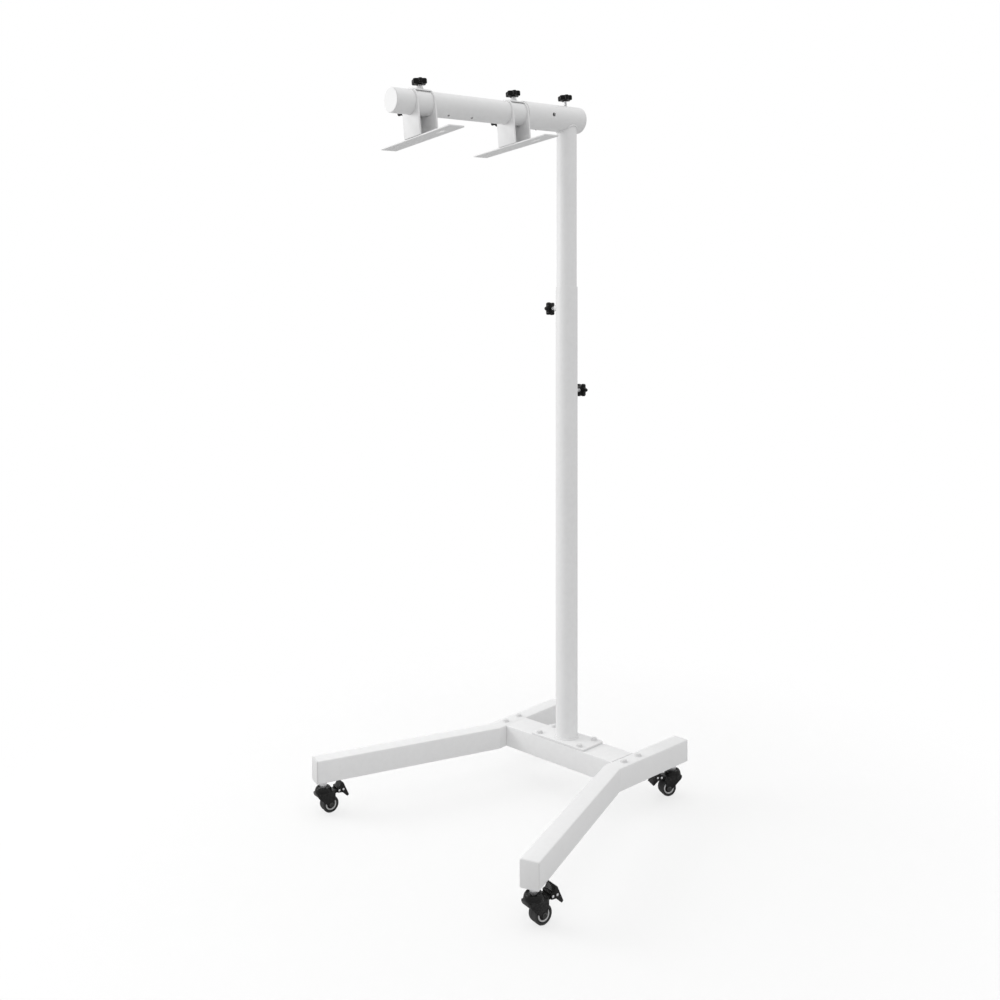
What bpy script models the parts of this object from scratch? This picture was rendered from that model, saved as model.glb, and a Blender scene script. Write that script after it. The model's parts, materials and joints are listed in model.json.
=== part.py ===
"""Rolling floor stand with a telescoping post and a swivelling arm.

Two splayed legs on braked casters are bolted to a crossbar.  A flanged post
stands on the crossbar, an inner post slides and turns in it, and the sleeve
on top holds a round arm.  Two clamp brackets hang from the arm, and each one
carries a flat mounting bar.  Eight star knobs lock what slides or turns.

Run it with blender --background --python part.py, or from the text editor.
Metres, +Z up, -Y is the front.  Every object's name is its part's name.
"""

import math

import bpy
from mathutils import Matrix, Vector

# ---- clearances -------------------------------------------------------------
GAP = 0.0003                # between two pieces that touch
RUNNING_GAP = 0.0005        # around a tube that slides or turns in another
ROUND = 36                  # sides of a tube
SMALL_ROUND = 20            # sides of a wheel or race
SCREW_ROUND = 12            # sides of a screw, boss or hole

# ---- casters ----------------------------------------------------------------
CASTER_HEIGHT = 0.0775      # floor to the underside of a leg
WHEEL_RADIUS = 0.020
WHEEL_WIDTH = 0.0235
HUB_RADIUS = 0.0075
HUB_WIDTH = 0.0247
AXLE_RADIUS = 0.004
AXLE_HEAD_RADIUS = 0.0055
AXLE_HEAD_HEIGHT = 0.0015
CASTER_TRAIL = 0.0155       # wheel axle behind the swivel axis
FORK_PLATE = 0.0021
FORK_CROWN = 0.007          # solid crown over the wheel
FORK_NOSE = 0.019           # crown ahead of the swivel axis
WHEEL_CLEARANCE = 0.003     # over the tread
RACE_RADIUS = 0.0205
RACE_TOP_RADIUS = 0.0165
RACE_HEIGHT = 0.0125
STEM_RADIUS = 0.005
STEM_NUT_RADIUS = 0.0095
STEM_IN_LEG = 0.012
PEDAL_WIDTH = 0.028
PEDAL_WALL = 0.0022
PEDAL_HINGE_BACK = 0.0205   # pedal rivet behind the wheel axle
PEDAL_HINGE_UP = 0.0295     # pedal rivet above the wheel axle
SWIVELS = {"front_right": -11, "front_left": -12, "rear_right": 150, "rear_left": 205}

# ---- base -------------------------------------------------------------------
LEG_WIDTH = 0.040
LEG_HEIGHT = 0.0545
LEG_WALL = 0.002
LEG_FRONT = Vector((0.3438, -0.5266))   # centre of the front end
LEG_BEND = Vector((0.1900, -0.0635))    # centre of the mitred bend
LEG_REAR = Vector((0.2026, 0.2082))     # centre of the rear end
CAP_FLANGE = 0.0025
CAP_PLUG = 0.012
CASTER_INSET_FRONT = 0.022              # swivel axis from the leg's end
CASTER_INSET_REAR = 0.036
CROSSBAR_DEPTH = 0.080
CROSSBAR_WALL = 0.002
BOLT_SHANK_RADIUS = 0.004
BOLT_HEAD_RADIUS = 0.0072
BOLT_HEAD_HEIGHT = 0.0055
BOLT_LENGTH = 0.016
LEG_BOLT_PITCH = 0.054
LEG_BOLT_MIDDLE = 0.007                 # middle of a leg's pair, behind the post

# ---- post -------------------------------------------------------------------
FLANGE_LENGTH = 0.170
FLANGE_THICKNESS = 0.005
FLANGE_BOLT_X = 0.065
FLANGE_BOLT_Y = 0.0295
POST_RADIUS = 0.0275
POST_WALL = 0.0015
POST_TOP = 1.1418                       # above the top of the crossbar
INNER_RADIUS = 0.0254
INNER_WALL = 0.0015
INNER_FOOT = 0.790                      # above the top of the crossbar
FOOT_FLANGE = 0.006
FOOT_PLUG = 0.020
UPPER_LOCK_HEIGHT = 1.0899              # above the top of the crossbar
LOWER_LOCK_HEIGHT = 0.8809

# ---- arm and sleeve ---------------------------------------------------------
ARM_HEIGHT = 1.56485                    # arm axis above the top of the crossbar
ARM_SWIVEL = math.radians(-7.04)
ARM_PITCH = math.radians(5.20)
ARM_RADIUS = 0.0275
ARM_WALL = 0.002
ARM_FRONT = 0.530                       # front end ahead of the post's axis
ARM_REAR = -0.018
ARM_HOLE_RADIUS = 0.003
ARM_HOLES = (0.3825, 0.3152)
ARM_HOLE_TURN = math.radians(65)
SLEEVE_RADIUS = 0.0323
SLEEVE_FRONT = 0.1525
SLEEVE_REAR = -0.037
SLEEVE_CAP_DOME = 0.0045
SLOT_FRONT = 0.080
SLOT_REAR = -0.012
SLOT_WIDTH = 0.0088
SIDE_LOCK = 0.054                       # sleeve's side knob ahead of the post
SIDE_HOLE = 0.072                       # open hole in the sleeve's right side
SIDE_HOLE_RADIUS = 0.005
TOP_LOCK = 0.001                        # knob in the sleeve's slot

# ---- clamp brackets and bars ------------------------------------------------
CLAMP_HALF_WIDTH = 0.031
CLAMP_FRONT = 0.024                     # front face ahead of the clamp's origin
CLAMP_REAR = 0.0275
CLAMP_PLATE = 0.004
CLAMP_TOP_KNOB = -0.007                 # top knob behind the clamp's middle
BAR_LENGTH = 0.268
BAR_WIDTH = 0.043
BAR_THICKNESS = 0.003
BAR_UNDERSIDE = 0.0802                  # below the arm's axis
BAR_HOLE_RADIUS = 0.004
BAR_HOLE_X = 0.098
BAR_SLOT_INNER = 0.062
BAR_SLOT_OUTER = 0.088
BRACKETS = {"front": 0.456, "rear": 0.181}

# ---- star knobs -------------------------------------------------------------
KNOB_RADIUS = 0.018
KNOB_SCALLOP = 0.0026
KNOB_THICKNESS = 0.012
KNOB_HUB_RADIUS = 0.007
KNOB_HUB_HEIGHT = 0.0015
KNOB_LOBES = 6
STUD_RADIUS = 0.0038
BOSS_RADIUS = 0.0075
BOSS_HEIGHT = 0.010
BOSS_SINK = 0.0012                      # a nut's foot in the curved wall
CLAMP_TOP_BOSS = 0.006                  # lower nut under the clamp's top knob
UPPER_KNOB_REACH = 0.0545               # middle of the star from the tube's axis
LOWER_KNOB_REACH = 0.059
SLEEVE_TOP_REACH = 0.0536
SLEEVE_SIDE_REACH = 0.061
CLAMP_TOP_REACH = 0.0475
CLAMP_SIDE_REACH = 0.064

# ---- places that follow from the sizes --------------------------------------
LEG_TOP = CASTER_HEIGHT + LEG_HEIGHT
HUB_BACK = CASTER_TRAIL
FORK_INSIDE = HUB_WIDTH / 2 + GAP
FORK_OUTSIDE = FORK_INSIDE + FORK_PLATE
CROWN_BOTTOM = 2 * WHEEL_RADIUS + WHEEL_CLEARANCE
CROWN_TOP = CROWN_BOTTOM + FORK_CROWN
BAR_TOP = -BAR_UNDERSIDE + BAR_THICKNESS


# ---- making and joining meshes ----------------------------------------------
def clear_scene():
    """Take every object out of the scene."""
    for obj in list(bpy.data.objects):
        bpy.data.objects.remove(obj, do_unlink=True)


def make_material(name, colour, roughness, metallic):
    """Return a plain Principled material."""
    material = bpy.data.materials.new(name)
    material.use_nodes = True
    shader = material.node_tree.nodes["Principled BSDF"]
    shader.inputs["Base Color"].default_value = (*colour, 1.0)
    shader.inputs["Roughness"].default_value = roughness
    shader.inputs["Metallic"].default_value = metallic
    return material


def make_empty(name, parent=None, location=(0, 0, 0), rotation=(0, 0, 0)):
    """Return an empty that places what is parented to it."""
    empty = bpy.data.objects.new(name, None)
    bpy.context.collection.objects.link(empty)
    empty.parent = parent
    empty.location = location
    empty.rotation_euler = rotation
    return empty


def make_object(name, loops, parent, material=None, closed=False):
    """Skin a row of point loops; the last joins the first when it is closed."""
    points = [tuple(point) for loop in loops for point in loop]
    count = len(loops[0])
    rows = len(loops)
    faces = []
    for row in range(rows if closed else rows - 1):
        low = row * count
        high = ((row + 1) % rows) * count
        for i in range(count):
            j = (i + 1) % count
            faces.append((low + i, low + j, high + j, high + i))
    if not closed:
        faces.append(tuple(reversed(range(count))))
        faces.append(tuple(range((rows - 1) * count, rows * count)))
    mesh = bpy.data.meshes.new(name)
    mesh.from_pydata(points, [], faces)
    mesh.shade_smooth()
    mesh.set_sharp_from_angle(angle=math.radians(35))
    obj = bpy.data.objects.new(name, mesh)
    bpy.context.collection.objects.link(obj)
    obj.parent = parent
    if material:
        mesh.materials.append(material)
    return obj


def ring(radius, z, sides):
    """Return a circle of points about Z with a point on -Y."""
    turn = 2 * math.pi / sides
    return [Vector((radius * math.sin(i * turn), -radius * math.cos(i * turn), z))
            for i in range(sides)]


def turned(name, profile, parent, material=None, sides=SMALL_ROUND, closed=False):
    """Turn a profile of (radius, height) points, from the bottom up its outside."""
    loops = [ring(radius, z, sides) for radius, z in profile]
    return make_object(name, loops, parent, material, closed)


def tube(name, radius, wall, low, high, parent, material):
    """Make a round tube along Z."""
    inside = radius - wall
    profile = [(radius, low), (radius, high), (inside, high), (inside, low)]
    return turned(name, profile, parent, material, ROUND, closed=True)


def prism(name, outline, half_width, parent, material=None):
    """Extrude an outline of (y, z) points, anticlockwise, to both sides along X."""
    loops = [[Vector((x, y, z)) for y, z in outline] for x in (-half_width, half_width)]
    return make_object(name, loops, parent, material)


def block(name, low, high, parent, material=None):
    """Make a rectangular block between two corners."""
    (x0, y0, z0), (x1, y1, z1) = low, high
    corners = ((x0, y0), (x1, y0), (x1, y1), (x0, y1))
    loops = [[Vector((x, y, z)) for x, y in corners] for z in (z0, z1)]
    return make_object(name, loops, parent, material)


def rod(name, radius, start, end, parent, sides=SCREW_ROUND):
    """Make a plain cylinder between two points, for a boss or a cutter."""
    start, end = Vector(start), Vector(end)
    obj = turned(name, [(radius, 0), (radius, (end - start).length)], parent, None, sides)
    turn = (end - start).to_track_quat("Z", "Y").to_matrix().to_4x4()
    obj.data.transform(Matrix.Translation(start) @ turn)
    return obj


def combine(target, tool, operation):
    """Cut the tool from the target, or weld it on, and hide the tool."""
    modifier = target.modifiers.new(operation.lower(), "BOOLEAN")
    modifier.operation = operation
    modifier.solver = "EXACT"
    modifier.object = tool
    tool.hide_render = True
    tool.display_type = "WIRE"


def cut(target, *tools):
    """Cut each tool from the target."""
    for tool in tools:
        combine(target, tool, "DIFFERENCE")


def weld(target, *tools):
    """Join each tool to the target."""
    for tool in tools:
        combine(target, tool, "UNION")


# ---- base -------------------------------------------------------------------
def leg_direction(end):
    """Return the unit direction from the bend towards one end."""
    return (end - LEG_BEND).normalized()


def leg_point(end, inset):
    """Return a point on the leg's centreline, inset from one end."""
    return end - leg_direction(end) * inset


def leg_centre_x(y):
    """Return the centreline's X at a Y on the rear run."""
    direction = leg_direction(LEG_REAR)
    return LEG_BEND.x + (y - LEG_BEND.y) * direction.x / direction.y


def leg_inner_x(y):
    """Return the inner face's X at a Y on the rear run."""
    return leg_centre_x(y) - LEG_WIDTH / 2 / leg_direction(LEG_REAR).y


def leg_section(centre, across, inset):
    """Return the four corners of the leg's section at a centre point."""
    half = across * (LEG_WIDTH / 2 - inset)
    low = CASTER_HEIGHT + inset
    high = LEG_TOP - inset
    corners = ((-1, low), (1, low), (1, high), (-1, high))
    return [Vector((*(centre + half * side), z)) for side, z in corners]


def leg_stations():
    """Return the centre and across direction at the front, bend and rear."""
    front = leg_point(LEG_FRONT, CAP_FLANGE + GAP)
    rear = leg_point(LEG_REAR, CAP_FLANGE + GAP)
    forward = leg_direction(LEG_FRONT)
    backward = leg_direction(LEG_REAR)
    across_front = Vector((forward.y, -forward.x))
    across_rear = Vector((-backward.y, backward.x))
    middle = (across_front + across_rear).normalized()
    middle /= middle.dot(across_front)
    return [(front, across_front), (LEG_BEND, middle), (rear, across_rear)]


def mirrored(loops, side):
    """Return the loops on one side of the stand, still facing outwards."""
    if side > 0:
        return loops
    return [[Vector((-p.x, p.y, p.z)) for p in reversed(loop)] for loop in loops]


def make_leg(side_name, side, root, paint):
    """Make one bent leg: two runs of rectangular tube, mitred and welded."""
    loops = []
    for inset, stations in ((0, leg_stations()), (LEG_WALL, reversed(leg_stations()))):
        loops += [leg_section(centre, across, inset) for centre, across in stations]
    leg = make_object(f"leg_{side_name}", mirrored(loops, side), root, paint, closed=True)
    for i, y in enumerate(leg_bolt_rows()):
        x = side * leg_centre_x(y)
        cut(leg, rod(f"cut_leg_{side_name}_bolt_{i}", BOLT_SHANK_RADIUS + GAP,
                     (x, y, LEG_TOP - 2 * LEG_WALL), (x, y, LEG_TOP + LEG_WALL), root))
    for end, inset in ((LEG_FRONT, CASTER_INSET_FRONT), (LEG_REAR, CASTER_INSET_REAR)):
        point = leg_point(end, inset)
        x = side * point.x
        cut(leg, rod(f"cut_leg_{side_name}_stem_{inset}", STEM_RADIUS + GAP,
                     (x, point.y, CASTER_HEIGHT - LEG_WALL),
                     (x, point.y, CASTER_HEIGHT + 2 * LEG_WALL), root))
    return leg


def make_leg_cap(name, end, side, root, plastic):
    """Make the plug that closes one end of a leg."""
    direction = leg_direction(end)
    across = Vector((-direction.y, direction.x))
    plug_inset = LEG_WALL + GAP
    steps = ((-CAP_FLANGE - CAP_PLUG, plug_inset), (-CAP_FLANGE, plug_inset),
             (-CAP_FLANGE, 0), (0, 0))
    loops = [leg_section(end + direction * back, across, inset) for back, inset in steps]
    return make_object(name, mirrored(loops, side), root, plastic)


def leg_bolt_rows():
    """Return the Y of the two bolts on a leg."""
    half = LEG_BOLT_PITCH / 2
    return (LEG_BOLT_MIDDLE - half, LEG_BOLT_MIDDLE + half)


def flange_bolt_places():
    """Return the X and Y of the four bolts of the post's flange."""
    return [(sx * FLANGE_BOLT_X, sy * FLANGE_BOLT_Y) for sy in (-1, 1) for sx in (-1, 1)]


def make_crossbar(root, paint):
    """Make the rectangular tube between the legs, its ends cut to meet them."""
    half = CROSSBAR_DEPTH / 2
    front = leg_inner_x(-half) - GAP
    rear = leg_inner_x(half) - GAP
    corners = ((-front, -half), (front, -half), (rear, half), (-rear, half))
    loops = [[Vector((x, y, z)) for x, y in corners] for z in (CASTER_HEIGHT, LEG_TOP)]
    bar = make_object("crossbar", loops, root, paint)
    inside = half - CROSSBAR_WALL
    cut(bar, block("cut_crossbar",
                   (-2 * rear, -inside, CASTER_HEIGHT + CROSSBAR_WALL),
                   (2 * rear, inside, LEG_TOP - CROSSBAR_WALL), root))
    for i, (x, y) in enumerate(flange_bolt_places()):
        cut(bar, rod(f"cut_crossbar_bolt_{i}", BOLT_SHANK_RADIUS + GAP,
                     (x, y, LEG_TOP - 2 * CROSSBAR_WALL), (x, y, LEG_TOP + GAP), root))
    return bar


def make_bolt(name, x, y, seat, root, steel):
    """Make a round-headed bolt whose head rests on a seat."""
    top = seat + BOLT_HEAD_HEIGHT
    bottom = seat - BOLT_LENGTH
    profile = [(BOLT_SHANK_RADIUS * 0.8, bottom), (BOLT_SHANK_RADIUS, bottom + 0.001),
               (BOLT_SHANK_RADIUS, seat + GAP), (BOLT_HEAD_RADIUS, seat + GAP),
               (BOLT_HEAD_RADIUS, top - 0.0015), (BOLT_HEAD_RADIUS * 0.78, top)]
    bolt = turned(name, profile, root, steel, SCREW_ROUND)
    bolt.location = (x, y, 0)
    return bolt


def make_base(root, paint, plastic, steel):
    """Make the legs, their caps, the crossbar and the bolts that join them."""
    make_crossbar(root, paint)
    for side_name, side in (("right", 1), ("left", -1)):
        make_leg(side_name, side, root, paint)
        make_leg_cap(f"leg_{side_name}_front_cap", LEG_FRONT, side, root, plastic)
        make_leg_cap(f"leg_{side_name}_rear_cap", LEG_REAR, side, root, plastic)
        for place, y in zip(("front", "rear"), leg_bolt_rows()):
            make_bolt(f"leg_bolt_{side_name}_{place}", side * leg_centre_x(y), y,
                      LEG_TOP, root, steel)
    names = ("front_left", "front_right", "rear_left", "rear_right")
    for name, (x, y) in zip(names, flange_bolt_places()):
        make_bolt(f"flange_bolt_{name}", x, y, LEG_TOP + GAP + FLANGE_THICKNESS, root, steel)


# ---- casters ----------------------------------------------------------------
def make_wheel(name, hub, rubber):
    """Make one wheel, turned about its own axle."""
    half = WHEEL_WIDTH / 2
    hub_half = HUB_WIDTH / 2
    bore = AXLE_RADIUS + GAP
    shoulder = WHEEL_RADIUS - 0.0012
    dish = half - 0.0012
    rim = WHEEL_RADIUS - 0.005
    side = [(bore, hub_half), (HUB_RADIUS, hub_half), (HUB_RADIUS, dish), (rim, dish),
            (rim + 0.0005, half), (shoulder, half), (WHEEL_RADIUS, half * 0.55)]
    profile = [(r, -z) for r, z in side] + [(r, z) for r, z in reversed(side)]
    wheel = turned(name, profile, hub, rubber, SMALL_ROUND, closed=True)
    wheel.rotation_euler = (0, math.pi / 2, 0)
    wheel.data.transform(Matrix.Rotation(math.pi / 2, 4, "Z"))
    return wheel


def make_axle(name, hub, steel):
    """Make the riveted axle through the fork and the wheel."""
    reach = FORK_OUTSIDE + GAP
    head = reach + AXLE_HEAD_HEIGHT
    side = [(AXLE_HEAD_RADIUS * 0.7, head), (AXLE_HEAD_RADIUS, head - 0.0006),
            (AXLE_HEAD_RADIUS, reach), (AXLE_RADIUS, reach)]
    profile = [(r, -z) for r, z in side] + [(r, z) for r, z in reversed(side)]
    axle = turned(name, profile, hub, steel, SCREW_ROUND)
    axle.rotation_euler = (0, math.pi / 2, 0)
    return axle


def fork_outline():
    """Return the fork's side view, from its nose down to the axle and back up."""
    hub_y, hub_z = HUB_BACK, WHEEL_RADIUS
    eye = AXLE_HEAD_RADIUS + 0.0018
    turns = [math.radians(a) for a in (200, 235, 270, 305, 340)]
    around = [(hub_y + eye * math.cos(a), hub_z + eye * math.sin(a)) for a in turns]
    back = hub_y + 0.0105
    return ([(-FORK_NOSE, CROWN_TOP), (-FORK_NOSE + 0.002, CROWN_BOTTOM - 0.001)] + around
            + [(back, CROWN_BOTTOM - 0.006), (back, CROWN_TOP)])


def pedal_hinge():
    """Return the Y and Z of the pedal's rivet."""
    return HUB_BACK + PEDAL_HINGE_BACK, WHEEL_RADIUS + PEDAL_HINGE_UP


def make_fork(name, swivel, metal):
    """Make the pressed fork with its ball race on top and the brake's tail behind."""
    fork = prism(name, fork_outline(), FORK_OUTSIDE, swivel, metal)
    hinge_y, hinge_z = pedal_hinge()
    tail_half = PEDAL_WIDTH / 2 - PEDAL_WALL - GAP
    tail_end = hinge_y + 0.0075
    tail = prism(f"add_tail_{name}", [(0, CROWN_BOTTOM), (tail_end, CROWN_BOTTOM + 0.002),
                                      (tail_end, CROWN_TOP + 0.002), (0, CROWN_TOP)],
                 tail_half, swivel)
    base = CROWN_TOP - 0.0015
    top = CROWN_TOP + RACE_HEIGHT
    race = turned(f"add_race_{name}",
                  [(RACE_RADIUS * 0.9, base), (RACE_RADIUS, base + 0.0025),
                   (RACE_RADIUS, base + 0.0055), (RACE_RADIUS * 0.93, base + 0.009),
                   (RACE_RADIUS * 0.78, top - 0.0012), (RACE_TOP_RADIUS, top)], swivel)
    weld(fork, tail, race)
    cut(fork, block(f"cut_pocket_{name}", (-FORK_INSIDE, -0.05, -0.01),
                    (FORK_INSIDE, 0.06, CROWN_BOTTOM), swivel))
    hub = (HUB_BACK, WHEEL_RADIUS)
    cut(fork, rod(f"cut_axle_{name}", AXLE_RADIUS + GAP, (-0.03, *hub), (0.03, *hub), swivel))
    cut(fork, rod(f"cut_stem_{name}", STEM_RADIUS + GAP, (0, 0, CROWN_BOTTOM + 0.003),
                  (0, 0, top + 0.005), swivel))
    return fork


def make_pedal(name, hinge, metal):
    """Make the bent brake pedal, a channel open below and at its front."""
    y0, z0 = pedal_hinge()
    outer = [(-0.0045, -0.0055), (0.008, -0.0065), (0.0215, -0.0185), (0.0255, -0.0150),
             (0.0110, 0.0165), (0.0070, 0.0175), (0.0015, 0.0075), (-0.0045, 0.0060)]
    inner = [(-0.0080, -0.0100), (0.007, -0.0110), (0.0195, -0.0225), (0.0223, -0.0145),
             (0.0095, 0.0135), (0.0078, 0.0140), (0.0028, 0.0053), (-0.0080, 0.0040)]
    pedal = prism(name, outer, PEDAL_WIDTH / 2, hinge, metal)
    cut(pedal, prism(f"cut_{name}", inner, PEDAL_WIDTH / 2 - PEDAL_WALL, hinge))
    hinge.location = (0, y0, z0)
    return pedal


def make_stem(name, place, steel):
    """Make the threaded stem and its nut, which stay with the leg."""
    bottom = CROWN_BOTTOM + 0.0036
    nut_low = CROWN_TOP + RACE_HEIGHT + GAP
    nut_high = CASTER_HEIGHT - GAP
    profile = [(STEM_RADIUS, bottom), (STEM_RADIUS, nut_low), (STEM_NUT_RADIUS, nut_low),
               (STEM_NUT_RADIUS, nut_high), (STEM_RADIUS, nut_high),
               (STEM_RADIUS, CASTER_HEIGHT + STEM_IN_LEG)]
    return turned(name, profile, place, steel, SCREW_ROUND)


def make_casters(root, metal, rubber, steel):
    """Make the four braked casters, each turned to its own heading."""
    ends = {"front": (LEG_FRONT, CASTER_INSET_FRONT), "rear": (LEG_REAR, CASTER_INSET_REAR)}
    for corner, heading in SWIVELS.items():
        end, side_name = corner.split("_")
        point = leg_point(*ends[end])
        x = point.x if side_name == "right" else -point.x
        place = make_empty(f"caster_place_{corner}", root, (x, point.y, 0))
        make_stem(f"caster_stem_{corner}", place, steel)
        swivel = make_empty(f"caster_swivel_{corner}", place,
                            rotation=(0, 0, math.radians(heading)))
        make_fork(f"caster_fork_{corner}", swivel, metal)
        hub = make_empty(f"wheel_axis_{corner}", swivel, (0, HUB_BACK, WHEEL_RADIUS))
        make_wheel(f"caster_wheel_{corner}", hub, rubber)
        make_axle(f"caster_axle_{corner}", hub, steel)
        hinge = make_empty(f"pedal_axis_{corner}", swivel)
        make_pedal(f"brake_pedal_{corner}", hinge, metal)


# ---- knobs ------------------------------------------------------------------
def star_ring(scale, z):
    """Return the star's outline, a circle with a scallop between its lobes."""
    sides = KNOB_LOBES * 4
    middle = KNOB_RADIUS - KNOB_SCALLOP
    points = []
    for i in range(sides):
        angle = 2 * math.pi * i / sides
        radius = (middle + KNOB_SCALLOP * math.cos(KNOB_LOBES * angle)) * scale
        points.append(Vector((radius * math.sin(angle), -radius * math.cos(angle), z)))
    return points


def make_knob(name, parent, location, rotation, tip, reach, plastic):
    """Make a star knob and its stud; its own +Z points away from the tube."""
    sides = KNOB_LOBES * 4
    low = reach - KNOB_THICKNESS / 2
    high = reach + KNOB_THICKNESS / 2
    hub = low - KNOB_HUB_HEIGHT
    loops = [ring(STUD_RADIUS * 0.8, tip, sides), ring(STUD_RADIUS, tip + 0.0008, sides),
             ring(STUD_RADIUS, hub, sides), ring(KNOB_HUB_RADIUS, hub, sides),
             ring(KNOB_HUB_RADIUS, low, sides), star_ring(0.92, low),
             star_ring(1.0, low + 0.002), star_ring(1.0, high - 0.002), star_ring(0.9, high)]
    axis = make_empty(f"knob_axis_{name}", parent, location, rotation)
    return make_object(name, loops, axis, plastic)


def make_boss(name, parent, start, direction, surface, height=BOSS_HEIGHT):
    """Return a welded nut and its screw hole's cutter, along a direction."""
    start, direction = Vector(start), Vector(direction)
    boss = rod(f"add_boss_{name}", BOSS_RADIUS, start + direction * (surface - BOSS_SINK),
               start + direction * (surface + height), parent)
    hole = rod(f"cut_boss_{name}", STUD_RADIUS + GAP, start + direction * surface / 2,
               start + direction * (surface + 2 * height), parent)
    return boss, hole


# ---- post -------------------------------------------------------------------
def make_flange(root, paint):
    """Make the plate that bolts the post to the crossbar."""
    half = FLANGE_LENGTH / 2
    low = LEG_TOP + GAP
    plate = block("flange_plate", (-half, -CROSSBAR_DEPTH / 2, low),
                  (half, CROSSBAR_DEPTH / 2, low + FLANGE_THICKNESS), root, paint)
    for i, (x, y) in enumerate(flange_bolt_places()):
        cut(plate, rod(f"cut_flange_bolt_{i}", BOLT_SHANK_RADIUS + GAP, (x, y, low - 0.002),
                       (x, y, low + FLANGE_THICKNESS + 0.002), root))
    return plate


def make_outer_post(root, paint, plastic):
    """Make the fixed post with its two lock knobs."""
    low = LEG_TOP + FLANGE_THICKNESS + 2 * GAP
    post = tube("outer_post", POST_RADIUS, POST_WALL, low, LEG_TOP + POST_TOP, root, paint)
    locks = (("upper", UPPER_LOCK_HEIGHT, UPPER_KNOB_REACH, (-1, 0, 0), (0, -math.pi / 2, 0)),
             ("lower", LOWER_LOCK_HEIGHT, LOWER_KNOB_REACH, (0, 1, 0), (-math.pi / 2, 0, 0)))
    pairs = []
    for place, height, reach, direction, rotation in locks:
        centre = (0, 0, LEG_TOP + height)
        pairs.append(make_boss(f"post_{place}", root, centre, direction, POST_RADIUS))
        make_knob(f"post_knob_{place}", root, centre, rotation,
                  INNER_RADIUS + GAP, reach, plastic)
    weld(post, *(boss for boss, _ in pairs))
    cut(post, *(hole for _, hole in pairs))
    return post


def make_post_foot(foot, plastic):
    """Make the glide plug in the foot of the inner post."""
    top = LEG_TOP + INNER_FOOT
    profile = [(POST_RADIUS - POST_WALL - RUNNING_GAP, top - FOOT_FLANGE - GAP),
               (POST_RADIUS - POST_WALL - RUNNING_GAP, top - GAP),
               (INNER_RADIUS - INNER_WALL - GAP, top - GAP),
               (INNER_RADIUS - INNER_WALL - GAP, top + FOOT_PLUG)]
    return turned("inner_post_foot", profile, foot, plastic, ROUND)


def make_inner_post(swivel, arm, paint):
    """Make the sliding post, its top cut to sit under the sleeve."""
    post = tube("inner_post", INNER_RADIUS, INNER_WALL, LEG_TOP + INNER_FOOT,
                LEG_TOP + ARM_HEIGHT, swivel, paint)
    cut(post, rod("cut_inner_post", SLEEVE_RADIUS + GAP, (0, -0.08, 0), (0, 0.08, 0), arm, ROUND))
    return post


# ---- arm, sleeve and brackets (X right, -Y forward, Z up in the arm's frame) --
def make_sleeve(arm, paint, plastic):
    """Make the sleeve that holds the arm, its rear cap and its side knob."""
    sleeve = tube("arm_sleeve", SLEEVE_RADIUS, SLEEVE_RADIUS - ARM_RADIUS - RUNNING_GAP,
                  SLEEVE_REAR, SLEEVE_FRONT, arm, paint)
    sleeve.data.transform(Matrix.Rotation(math.pi / 2, 4, "X"))
    half = SLOT_WIDTH / 2
    middle = ((-SLOT_FRONT + half), (-SLOT_REAR - half))
    slot = block("cut_slot", (-half, middle[0], 0.01), (half, middle[1], 0.05), arm)
    ends = [rod(f"cut_slot_end_{i}", half, (0, y, 0.01), (0, y, 0.05), arm)
            for i, y in enumerate(middle)]
    boss, hole = make_boss("sleeve_side", arm, (0, -SIDE_LOCK, 0), (-1, 0, 0), SLEEVE_RADIUS)
    through = rod("cut_sleeve_side_hole", SIDE_HOLE_RADIUS, (SLEEVE_RADIUS / 2, -SIDE_HOLE, 0),
                  (2 * SLEEVE_RADIUS, -SIDE_HOLE, 0), arm)
    weld(sleeve, boss)
    cut(sleeve, slot, *ends, hole, through)
    make_knob("sleeve_knob_side", arm, (0, -SIDE_LOCK, 0), (0, -math.pi / 2, 0),
              ARM_RADIUS + GAP, SLEEVE_SIDE_REACH, plastic)
    start = -SLEEVE_REAR + GAP
    inside = ARM_RADIUS + RUNNING_GAP - GAP
    profile = [(inside, start - 0.010), (inside, start), (SLEEVE_RADIUS, start),
               (SLEEVE_RADIUS, start + 0.001), (SLEEVE_RADIUS * 0.93, start + 0.003),
               (SLEEVE_RADIUS * 0.75, start + SLEEVE_CAP_DOME)]
    cap = turned("sleeve_rear_cap", profile, arm, plastic_white(), ROUND)
    cap.data.transform(Matrix.Rotation(-math.pi / 2, 4, "X"))
    return sleeve


def plastic_white():
    """Return the white plastic of the caps, made once."""
    name = "white_plastic"
    return bpy.data.materials.get(name) or make_material(name, (0.86, 0.86, 0.86), 0.5, 0.0)


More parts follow.
